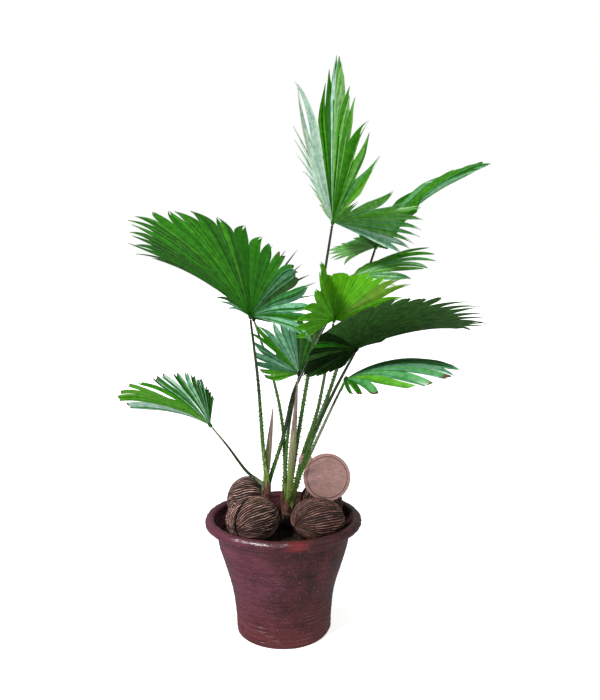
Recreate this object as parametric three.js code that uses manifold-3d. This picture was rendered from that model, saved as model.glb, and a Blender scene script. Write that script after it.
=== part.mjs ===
// A young chinese fan palm, two plants from one root ball, in a glazed pot.
// Millimetres, +Z up. The origin is the centre of the pot's flat underside.

import * as THREE from 'three';
import { mergeVertices } from 'three/addons/utils/BufferGeometryUtils.js';
import Module from 'manifold-3d';

const wasm = await Module();
wasm.setup();

// ---------------------------------------------------------------- driving sizes

const GAP = 0.3; // clearance between neighbouring pieces

const POT = {
  height: 195,
  rimRadius: 130, // outermost reach of the rolled lip
  lipRadius: 8, // radius of the rolled lip itself
  footRadius: 75.5, // flat underside
  wall: 9,
  floor: 10,
  floorCorner: 4, // how far the inside floor stops short of the foot's radius
  sides: 36,
};
const LIP_ARC = { from: -75, to: 190, steps: 8 }; // degrees round the rolled lip's own centre
// Outside of the wall between the foot and the lip: [radius, height].
const POT_BODY = [[79, 5], [79.5, 24], [81, 44], [84, 65], [89, 87], [95, 107], [100.5, 126], [106.5, 146],
  [110, 164], [115, 180]];

const SOIL_TOP = 165;
const SOIL_CROWN = 2; // how much higher the soil is in the middle
const SOIL_SIDES = 36;

const LEAF_THICKNESS = 3;
const HUB_RADIUS = 5.5; // the knuckle where a stalk turns into its blade
const BLADE = {
  root: 3, // the joined leaflets start this far from the hub's centre, inside the knuckle
  firstRow: 0.3, // shares of a spoke's length
  bends: 12,
  droopLength: 250, // a frond's droop is stated for a spoke of this length
  freeWidth: 0.9, // a free leaflet's width halfway along, as a share of its room
  tipWidth: 0.35,
  tipSteps: 3, // tips are cut back in turn by none, one or two times tipCut
  tipCut: 0.03,
  rootThickness: 0.35, // share of the full thickness at the hub, full after an eighth or so
  thickening: 8,
};

const STALK = { sides: 6, steps: 12, rise: 6 }; // rise: straight up from the stem before it leans
const SPEAR = { sides: 8, steps: 10, tipRadius: 0.4 };
const STEM = { sides: 14, rings: 3 };

// Each plant's foot is a short sheathed stem, and its stalks stand in a ring on top of it.
const LEFT_STEM = { foot: [-28, 7, SOIL_TOP - 12], top: [-29, 9, 236], footRadius: 9, topRadius: 8, ring: 5 };
const CENTRE_STEM = { foot: [6, 11, SOIL_TOP - 12], top: [8, 13, 208], footRadius: 13, topRadius: 11.5, ring: 8 };

// A frond's blade spreads from its hub along spokes that run in order from one edge to the
// other: [heading in degrees from +X towards +Y, climb in degrees, length].
// droop bends each spoke down, fused is the part of its length where leaflets stay joined.
const FRONDS = {
  low_left: {
    hub: [-123, 20, 341], droop: 0.7, leaflets: 15, fused: 0.62, colour: '#4f8a3c',
    spokes: [[-120, 31, 120], [-133, 32, 165], [-150, 36, 170], [180, 38, 160],
      [150, 38, 155], [125, 45, 130], [92, 32, 80]],
  },
  big_left: {
    hub: [-53, 0, 524], droop: 0.55, leaflets: 28, fused: 0.58, colour: '#2f7d22',
    spokes: [[116, 11, 110], [140, 34, 180], [158, 43, 230], [-175, 49, 240], [-140, 51, 242],
      [-110, 54, 212], [-80, 56, 163], [-55, 42, 145], [-40, -2, 115]],
  },
  behind_left: {
    hub: [-54, 95, 514], droop: 0.35, leaflets: 14, fused: 0.5, colour: '#3c7a35',
    spokes: [[150, 35, 140], [120, 55, 160], [75, 60, 165], [45, 32, 165], [59, -12, 95]],
  },
  top: {
    hub: [82, 50, 678], droop: 0.2, leaflets: 26, fused: 0.5, colour: '#5f9a3c',
    spokes: [[99, 18, 90], [120, 55, 150], [140, 68, 225], [135, 76, 262], [95, 82, 274], [-95, 66, 260],
      [-86, 44, 250], [-79, 36, 233], [-72, 24, 205], [-58, 12, 190], [-42, 6, 175], [-33, -12, 160],
      [-31, -25, 130]],
  },
  bright: {
    hub: [81, -30, 520], droop: 0.3, leaflets: 22, fused: 0.6, colour: '#6cc01f',
    spokes: [[-133, -20, 70], [-118, 10, 80], [-105, 38, 92], [100, 65, 108], [55, 52, 125],
      [20, 40, 148], [5, 30, 152], [5, 14, 130], [15, -8, 90]],
  },
  dark_right: {
    hub: [112, -90, 480], droop: 0.55, leaflets: 28, fused: 0.62, colour: '#1c3a1c',
    spokes: [[54, -7, 70], [42, 19, 150], [22, 25, 205], [-15, 29, 205], [-48, 33, 208],
      [-70, 38, 190], [-94, 37, 140], [-129, 16, 110], [-151, -17, 105], [-118, -23, 55]],
  },
  low_right: {
    hub: [94, -120, 439], droop: 1.1, leaflets: 18, fused: 0.6, colour: '#3d8a48',
    spokes: [[-105, -5, 50], [-70, 8, 95], [-56, 19, 135], [-43, 26, 160], [0, 29, 172],
      [29, 26, 160], [50, 18, 120], [63, 9, 90]],
  },
  low_centre: {
    hub: [26, 50, 423], droop: 0.35, leaflets: 16, fused: 0.6, colour: '#3f8040',
    spokes: [[-121, -2, 85], [-140, 30, 90], [165, 45, 108], [125, 50, 118], [91, 45, 115],
      [52, 22, 95], [46, 2, 80]],
  },
  back_right: {
    hub: [164, 140, 641], droop: 0.7, leaflets: 22, fused: 0.6, colour: '#6f9a78',
    spokes: [[-129, -12, 100], [170, 8, 75], [120, 22, 80], [80, 38, 115], [50, 50, 205], [0, 53, 258],
      [-45, 43, 230], [-62, 37, 190], [-59, 15, 120], [-66, -5, 60]],
  },
  mid_right: {
    hub: [117, 72, 587], droop: 0.9, leaflets: 16, fused: 0.6, colour: '#5d9a4a',
    spokes: [[-60, -30, 60], [-25, 2, 90], [-15, 14, 120], [-5, 22, 145], [15, 30, 150],
      [35, 22, 100], [70, 10, 45]],
  },
};

// A stalk starts at its place in the ring of its stem, passes the points under via and ends at
// its frond's hub. place is the heading of that start, in degrees.
const STALKS = {
  low_left: { stem: LEFT_STEM, place: -150, base: 2.2, tip: 1.3, via: [[-60, 12, 262], [-95, 18, 307]] },
  big_left: { stem: LEFT_STEM, place: -60, base: 3, tip: 1.9, via: [[-33, 6, 300], [-41, 2, 418]] },
  mid_right: {
    stem: LEFT_STEM, place: 30, base: 2.7, tip: 1.8,
    via: [[0, 28, 321], [17, 30, 395], [34, 38, 432], [62, 64, 488]],
  },
  behind_left: { stem: CENTRE_STEM, place: 130, base: 2.6, tip: 1.8, via: [[-1, 38, 326], [-17, 62, 407]] },
  low_centre: { stem: CENTRE_STEM, place: 175, base: 2.6, tip: 1.8, via: [[8, 30, 330]] },
  top: { stem: CENTRE_STEM, place: 85, base: 2.8, tip: 1.9, via: [[25, 26, 325], [48, 36, 465]] },
  back_right: {
    stem: CENTRE_STEM, place: 40, base: 2.8, tip: 1.9,
    via: [[46, 40, 308], [83, 77, 400], [106, 98, 470]],
  },
  bright: { stem: CENTRE_STEM, place: -5, base: 2.8, tip: 1.9, via: [[32, 14, 290], [56, -8, 371]] },
  dark_right: { stem: CENTRE_STEM, place: -50, base: 2.7, tip: 1.9, via: [[51, -36, 340], [82, -65, 416]] },
  low_right: { stem: CENTRE_STEM, place: -95, base: 2.7, tip: 1.7, via: [[50, -54, 325], [77, -94, 396]] },
};
const STALK_COLOUR = '#4c7a2c';

// Unopened leaves: slim spindles from the stem's top to a point.
const SPEARS = {
  spear_left: { stem: LEFT_STEM, place: 120, tip: [-17, 16, 374], radius: 3.6, foot: 2.4 },
  spear_centre: { stem: CENTRE_STEM, place: null, tip: [24, 20, 420], radius: 4, foot: 3 },
};

// Woody fruits that lie on the soil as a mulch.
const NUTS = {
  nut_front_left: { at: [-49, -42, 201], half: [44, 34, 37], turn: 10 },
  nut_front_right: { at: [56, -38, 199], half: [44, 34, 35], turn: -8 },
  nut_back_left: { at: [-63, 42, 205], half: [36, 33, 41], turn: 25 },
  nut_back_right: { at: [64, 36, 203], half: [37, 34, 38], turn: -20 },
};
const NUT_SIDES = 16;

// The tag is a round plate with a small eyed lobe on its shoulder.
const TAG = {
  radius: 39, thickness: 5, at: [72, -2, 258], lean: 12, turn: 4,
  lobeRadius: 12, eyeRadius: 4.5, lobeOut: 44, lobeHeading: 142, curveSteps: 20, lobeSteps: 12,
};

// ---------------------------------------------------------------- small helpers

const radians = THREE.MathUtils.degToRad;
const vector = (xyz) => new THREE.Vector3(...xyz);
const group = new THREE.Group();

function piece(name, geometry, colour, roughness = 0.6) {
  const material = new THREE.MeshStandardMaterial({ color: colour, roughness, metalness: 0 });
  const mesh = new THREE.Mesh(geometry, material);
  mesh.name = name;
  group.add(mesh);
  return mesh;
}

function indexed(points, triangles) {
  const geometry = new THREE.BufferGeometry();
  geometry.setAttribute('position', new THREE.Float32BufferAttribute(points.flatMap((p) => p.toArray()), 3));
  geometry.setIndex(triangles.flat());
  return geometry;
}

function toSolid(geometry) {
  const bare = geometry.clone();
  for (const name of ['normal', 'uv']) bare.deleteAttribute(name);
  const merged = mergeVertices(bare, 1e-4);
  return new wasm.Manifold(new wasm.Mesh({
    numProp: 3,
    vertProperties: new Float32Array(merged.attributes.position.array),
    triVerts: new Uint32Array(merged.index.array),
  }));
}

function toGeometry(solid) {
  const mesh = solid.getMesh();
  const geometry = new THREE.BufferGeometry();
  geometry.setAttribute('position', new THREE.BufferAttribute(new Float32Array(mesh.vertProperties), 3));
  geometry.setIndex(new THREE.BufferAttribute(new Uint32Array(mesh.triVerts), 1));
  return geometry;
}

// A smooth run through values at knots, for directions, lengths and places alike.
function smooth(knots, values, at) {
  let k = 0;
  while (k < knots.length - 2 && at >= knots[k + 1]) k += 1;
  const slope = (i) => {
    const before = Math.max(i - 1, 0);
    const after = Math.min(i + 1, knots.length - 1);
    return (values[after] - values[before]) / (knots[after] - knots[before]);
  };
  const step = knots[k + 1] - knots[k];
  const t = (at - knots[k]) / step;
  const rise = t * t * (3 - 2 * t);
  return values[k] * (1 - rise) + values[k + 1] * rise
    + step * slope(k) * t * (1 - t) * (1 - t) - step * slope(k + 1) * t * t * (1 - t);
}

// ---------------------------------------------------------------- stalks, stems and spears

// A closed limb round a smooth curve; radiusAt gives its radius from foot (0) to tip (1).
function limb(points, radiusAt, sides, steps) {
  const curve = new THREE.CatmullRomCurve3(points, false, 'centripetal');
  const frames = curve.computeFrenetFrames(steps);
  const vertices = [];
  const triangles = [];
  for (let s = 0; s <= steps; s += 1) {
    const centre = curve.getPointAt(s / steps);
    const radius = radiusAt(s / steps);
    for (let k = 0; k < sides; k += 1) {
      const angle = (2 * Math.PI * k) / sides;
      vertices.push(centre.clone()
        .addScaledVector(frames.normals[s], radius * Math.cos(angle))
        .addScaledVector(frames.binormals[s], radius * Math.sin(angle)));
    }
  }
  for (let s = 0; s < steps; s += 1) {
    for (let k = 0; k < sides; k += 1) {
      const next = (k + 1) % sides;
      const [a, b] = [s * sides + k, s * sides + next];
      triangles.push([a, b, b + sides], [a, b + sides, a + sides]);
    }
  }
  for (const [ring, flip] of [[0, true], [steps * sides, false]]) {
    for (let k = 1; k < sides - 1; k += 1) {
      triangles.push(flip ? [ring, ring + k + 1, ring + k] : [ring, ring + k, ring + k + 1]);
    }
  }
  return indexed(vertices, triangles);
}

// Where a stalk stands on its stem's top face; no place means the middle.
function ringPlace(stem, place) {
  const start = vector(stem.top);
  start.z += GAP;
  if (place !== null) {
    start.x += stem.ring * Math.cos(radians(place));
    start.y += stem.ring * Math.sin(radians(place));
  }
  return start;
}

function addStem(name, stem) {
  const geometry = new THREE.CylinderGeometry(stem.topRadius, stem.footRadius, 1, STEM.sides, STEM.rings);
  geometry.rotateX(Math.PI / 2);
  const places = geometry.attributes.position;
  for (let i = 0; i < places.count; i += 1) {
    const along = vector(stem.foot).lerp(vector(stem.top), places.getZ(i) + 0.5);
    places.setXYZ(i, along.x + places.getX(i), along.y + places.getY(i), along.z);
  }
  return piece(name, geometry, '#6e4636', 0.85);
}

function addStalk(name) {
  const stalk = STALKS[name];
  const hub = vector(FRONDS[name].hub);
  const via = stalk.via.map(vector);
  const last = via[via.length - 1];
  const end = hub.clone().addScaledVector(last.clone().sub(hub).normalize(), HUB_RADIUS + GAP);
  const start = ringPlace(stalk.stem, stalk.place);
  const radiusAt = (t) => stalk.base + (stalk.tip - stalk.base) * t;
  const lift = start.clone().add(new THREE.Vector3(0, 0, STALK.rise));
  const geometry = limb([start, lift, ...via, end], radiusAt, STALK.sides, STALK.steps);
  return piece(`stalk_${name}`, geometry, STALK_COLOUR);
}

function addSpear(name) {
  const spear = SPEARS[name];
  const start = ringPlace(spear.stem, spear.place);
  const radiusAt = (t) => SPEAR.tipRadius + (spear.foot - SPEAR.tipRadius) * (1 - t)
    + (spear.radius - spear.foot * 0.5) * Math.sin(Math.PI * t ** 0.8); // fullest below the middle
  const points = [start, start.clone().lerp(vector(spear.tip), 0.5), vector(spear.tip)];
  return piece(name, limb(points, radiusAt, SPEAR.sides, SPEAR.steps), '#7a5f5c', 0.7);
}

// ---------------------------------------------------------------- fronds

// The blade as a smooth unpleated surface: across runs 0..1 from edge to edge.
function blade(frond) {
  const aims = frond.spokes.map(([heading, climb]) => new THREE.Vector3(
    Math.cos(radians(climb)) * Math.cos(radians(heading)),
    Math.cos(radians(climb)) * Math.sin(radians(heading)),
    Math.sin(radians(climb)),
  ));
  const knots = [0];
  for (let i = 1; i < aims.length; i += 1) knots.push(knots[i - 1] + Math.max(aims[i].angleTo(aims[i - 1]), 0.02));
  const whole = knots[knots.length - 1];
  const scaled = knots.map((k) => k / whole);
  const lengths = frond.spokes.map((spoke) => spoke[2]);
  const hub = vector(frond.hub);
  const { bends, droopLength } = BLADE;

  // The points along one spoke, from the hub (0) to the tip (bends).
  const spoke = (across) => {
    const aim = new THREE.Vector3(
      smooth(scaled, aims.map((a) => a.x), across),
      smooth(scaled, aims.map((a) => a.y), across),
      smooth(scaled, aims.map((a) => a.z), across),
    ).normalize();
    const length = smooth(scaled, lengths, across);
    const points = [hub.clone()];
    for (let s = 0; s < bends; s += 1) {
      const heading = aim.clone();
      heading.z -= ((s + 0.5) / bends) * frond.droop * (length / droopLength);
      points.push(points[s].clone().addScaledVector(heading.normalize(), length / bends));
    }
    return points;
  };
  const point = (across, out) => {
    const points = spoke(across);
    const place = Math.min(Math.max(out, 0), 1) * bends;
    const s = Math.min(Math.floor(place), bends - 1);
    return points[s].clone().lerp(points[s + 1], place - s);
  };
  const normal = (across, out) => {
    const step = 0.004;
    const side = point(Math.min(across + step, 1), out).sub(point(Math.max(across - step, 0), out));
    const along = point(across, Math.min(out + step, 1)).sub(point(across, Math.max(out - step, 0)));
    return side.cross(along).normalize();
  };
  return { point, normal, meanLength: lengths.reduce((sum, l) => sum + l, 0) / lengths.length };
}

// One closed blade: leaflets joined out to the fused radius, then free and narrowing to cut tips.
function frondSheet(frond) {
  const surface = blade(frond);
  const { leaflets, fused } = frond;
  const joined = [BLADE.root / surface.meanLength, BLADE.firstRow, fused];
  const free = [(fused + 1) / 2, 1];
  const vertices = [];
  const add = (across, out) => {
    const at = surface.point(across, out);
    const thickness = LEAF_THICKNESS * Math.min(1, BLADE.rootThickness + BLADE.thickening * out);
    const offset = surface.normal(across, out).multiplyScalar(thickness / 2);
    vertices.push(at.clone().add(offset), at.clone().sub(offset));
    return vertices.length - 2; // the upper vertex; the lower one follows it
  };
  const lines = [];
  for (let i = 0; i <= leaflets; i += 1) lines.push(joined.map((out) => add(i / leaflets, out)));
  const triangles = [];
  const skin = (a, b, c, d) => { // both faces of a cell: a-b inner edge, d-c outer edge
    triangles.push([a, b, c], [a, c, d], [a + 1, c + 1, b + 1], [a + 1, d + 1, c + 1]);
  };
  const wall = (a, b) => triangles.push([a, a + 1, b + 1], [a, b + 1, b]);
  for (let i = 0; i < leaflets; i += 1) {
    for (let j = 0; j < joined.length - 1; j += 1) {
      skin(lines[i][j], lines[i + 1][j], lines[i + 1][j + 1], lines[i][j + 1]);
    }
    wall(lines[i][0], lines[i + 1][0]);
    const middle = (i + 0.5) / leaflets;
    let [left, right] = [lines[i][joined.length - 1], lines[i + 1][joined.length - 1]];
    for (const out of free) {
      const width = (fused / out) * (out === 1 ? BLADE.tipWidth : BLADE.freeWidth);
      const half = (0.5 / leaflets) * width;
      const cut = out === 1 ? 1 - BLADE.tipCut * (i % BLADE.tipSteps) : out;
      const [nextLeft, nextRight] = [add(middle - half, cut), add(middle + half, cut)];
      skin(left, right, nextRight, nextLeft);
      wall(nextLeft, left);
      wall(right, nextRight);
      [left, right] = [nextLeft, nextRight];
    }
    wall(right, left);
  }
  for (const [line, flip] of [[lines[0], false], [lines[leaflets], true]]) {
    for (let j = 0; j < joined.length - 1; j += 1) {
      if (flip) wall(line[j], line[j + 1]);
      else wall(line[j + 1], line[j]);
    }
  }
  return indexed(vertices, triangles);
}

function addFrond(name) {
  const frond = FRONDS[name];
  const knuckle = new THREE.IcosahedronGeometry(HUB_RADIUS, 0);
  const corner = new THREE.Vector3().fromBufferAttribute(knuckle.attributes.position, 0).normalize();
  const towardsStalk = vector(STALKS[name].via.at(-1)).sub(vector(frond.hub)).normalize();
  knuckle.applyQuaternion(new THREE.Quaternion().setFromUnitVectors(corner, towardsStalk));
  knuckle.translate(...frond.hub);
  const solid = toSolid(frondSheet(frond)).add(toSolid(knuckle));
  return piece(`frond_${name}`, toGeometry(solid), frond.colour, 0.5);
}

// ---------------------------------------------------------------- pot, soil, nuts and tag

function arc(centreR, centreZ, radius, fromDegrees, toDegrees, steps) {
  const points = [];
  for (let k = 0; k <= steps; k += 1) {
    const angle = radians(fromDegrees + ((toDegrees - fromDegrees) * k) / steps);
    points.push([centreR + radius * Math.cos(angle), centreZ + radius * Math.sin(angle)]);
  }
  return points;
}

function lathe(profile, sides) {
  const geometry = new THREE.LatheGeometry(profile.map(([r, z]) => new THREE.Vector2(r, z)), sides);
  geometry.rotateX(Math.PI / 2);
  return toSolid(geometry);
}

const wallInside = POT_BODY.map(([r, z]) => [r - POT.wall, z]).filter(([, z]) => z > 1.5 * POT.floor);

function wallInsideRadius(height) {
  const above = wallInside.findIndex(([, z]) => z > height);
  const [[r0, z0], [r1, z1]] = [wallInside[above - 1], wallInside[above]];
  return r0 + ((r1 - r0) * (height - z0)) / (z1 - z0);
}

function addPot() {
  const lipCentre = [POT.rimRadius - POT.lipRadius, POT.height - POT.lipRadius];
  const lip = arc(...lipCentre, POT.lipRadius, LIP_ARC.from, LIP_ARC.to, LIP_ARC.steps);
  const profile = [[0, 0], [POT.footRadius, 0], ...POT_BODY, ...lip,
    ...[...wallInside].reverse(), [POT.footRadius - POT.floorCorner, POT.floor], [0, POT.floor]];
  return piece('pot', toGeometry(lathe(profile, POT.sides)), '#5a3236', 0.25);
}

// grow makes the fruit larger all round, for the hollow that it lies in.
function nutGeometry(nut, grow = 0) {
  const geometry = new THREE.SphereGeometry(1, NUT_SIDES, NUT_SIDES / 2 + 1);
  geometry.rotateX(Math.PI / 2);
  geometry.scale(...nut.half.map((h) => h + grow));
  geometry.rotateZ(radians(nut.turn));
  geometry.translate(...nut.at);
  return geometry;
}

// The soil fills the pot and is pressed in under each fruit and round each stem.
function addSoil() {
  const inside = wallInside.map(([r, z]) => [r - GAP, z]).filter(([, z]) => z < SOIL_TOP);
  const foot = POT.floor + GAP;
  const profile = [[0, foot], [POT.footRadius - POT.floorCorner - 3 * GAP, foot], ...inside,
    [wallInsideRadius(SOIL_TOP) - GAP, SOIL_TOP], [0, SOIL_TOP + SOIL_CROWN]];
  let soil = lathe(profile, SOIL_SIDES);
  for (const nut of Object.values(NUTS)) soil = soil.subtract(toSolid(nutGeometry(nut, GAP)));
  for (const stem of [LEFT_STEM, CENTRE_STEM]) {
    const radius = stem.footRadius + 2 * GAP; // its flat sides still clear the stem by the gap
    const depth = 2 * (SOIL_TOP - stem.foot[2]);
    const bore = new THREE.CylinderGeometry(radius, radius, depth, STEM.sides);
    bore.rotateX(Math.PI / 2);
    bore.translate(stem.foot[0], stem.foot[1], stem.foot[2] - GAP + depth / 2);
    soil = soil.subtract(toSolid(bore));
  }
  return piece('soil', toGeometry(soil), '#2a1c15', 0.95);
}

function addTag() {
  const shape = new THREE.Shape();
  const heading = radians(TAG.lobeHeading);
  const lobe = [TAG.lobeOut * Math.cos(heading), TAG.lobeOut * Math.sin(heading)];
  shape.absarc(0, 0, TAG.radius, 0, 2 * Math.PI);
  const plate = new THREE.ExtrudeGeometry(shape, {
    depth: TAG.thickness, bevelEnabled: false, curveSegments: TAG.curveSteps,
  });
  const ring = new THREE.Shape();
  ring.absarc(...lobe, TAG.lobeRadius, 0, 2 * Math.PI);
  const ear = new THREE.ExtrudeGeometry(ring, {
    depth: TAG.thickness, bevelEnabled: false, curveSegments: TAG.lobeSteps,
  });
  const eye = new THREE.CylinderGeometry(TAG.eyeRadius, TAG.eyeRadius, 3 * TAG.thickness, TAG.lobeSteps);
  eye.rotateX(Math.PI / 2);
  eye.translate(lobe[0], lobe[1], TAG.thickness / 2);
  const solid = toSolid(plate).add(toSolid(ear)).subtract(toSolid(eye));
  const mesh = piece('tag', toGeometry(solid), '#a67c70', 0.8);
  mesh.geometry.translate(0, 0, -TAG.thickness / 2);
  mesh.rotation.set(Math.PI / 2 - radians(TAG.lean), 0, radians(TAG.turn), 'ZXY');
  mesh.position.set(...TAG.at);
  return mesh;
}

// ---------------------------------------------------------------- the whole plant

addPot();
addSoil();
for (const [name, nut] of Object.entries(NUTS)) piece(name, nutGeometry(nut), '#5b4038', 0.9);
addTag();
addStem('stem_left', LEFT_STEM);
addStem('stem_centre', CENTRE_STEM);
for (const name of Object.keys(SPEARS)) addSpear(name);
for (const name of Object.keys(STALKS)) addStalk(name);
for (const name of Object.keys(FRONDS)) addFrond(name);

export default group;
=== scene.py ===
import math
import random

import bpy
import numpy as np
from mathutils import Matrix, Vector


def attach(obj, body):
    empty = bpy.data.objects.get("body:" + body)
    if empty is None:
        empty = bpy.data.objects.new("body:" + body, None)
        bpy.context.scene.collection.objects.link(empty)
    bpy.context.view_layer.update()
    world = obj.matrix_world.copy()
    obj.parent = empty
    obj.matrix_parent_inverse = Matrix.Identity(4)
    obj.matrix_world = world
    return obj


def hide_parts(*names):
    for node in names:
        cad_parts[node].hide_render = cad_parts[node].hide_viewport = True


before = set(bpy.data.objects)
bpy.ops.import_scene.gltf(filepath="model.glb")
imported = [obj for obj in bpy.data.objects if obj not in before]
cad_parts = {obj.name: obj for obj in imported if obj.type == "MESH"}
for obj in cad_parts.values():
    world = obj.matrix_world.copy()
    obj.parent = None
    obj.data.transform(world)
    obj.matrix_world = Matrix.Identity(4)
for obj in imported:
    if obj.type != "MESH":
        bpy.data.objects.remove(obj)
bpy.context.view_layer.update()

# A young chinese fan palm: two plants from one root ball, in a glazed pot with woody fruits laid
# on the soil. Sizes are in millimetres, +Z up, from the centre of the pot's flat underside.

MM = 0.001  # metres in a millimetre
UP = np.array([0.0, 0.0, 1.0])

# ------------------------------------------------------------------ driving sizes

POT_HEIGHT = 195
POT_RIM_RADIUS = 130
POT_LIP_RADIUS = 8
POT_FOOT_RADIUS = 75.5
POT_WALL = 9
POT_FLOOR = 10
# Outside of the wall between the foot and the lip: [radius, height].
POT_BODY = [[79, 5], [79.5, 24], [81, 44], [84, 65], [89, 87], [95, 107], [100.5, 126], [106.5, 146],
            [110, 164], [115, 180]]
SOIL_TOP = 165
HUB_RADIUS = 5.5
GAP = 0.3
# How far each surface lies inside its solid, so that its relief stays in there as well.
SET_IN = {"pot": 0.3, "soil": 0.5, "husk": 0.4, "stem": 0.6}

# Each stem from foot to top; ring is the radius on which the stalks stand on its top.
LEFT_STEM = {"foot": [-28, 7, 153], "top": [-29, 9, 236], "foot_radius": 9, "top_radius": 8, "ring": 5}
CENTRE_STEM = {"foot": [6, 11, 153], "top": [8, 13, 208], "foot_radius": 13, "top_radius": 11.5, "ring": 8}

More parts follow.
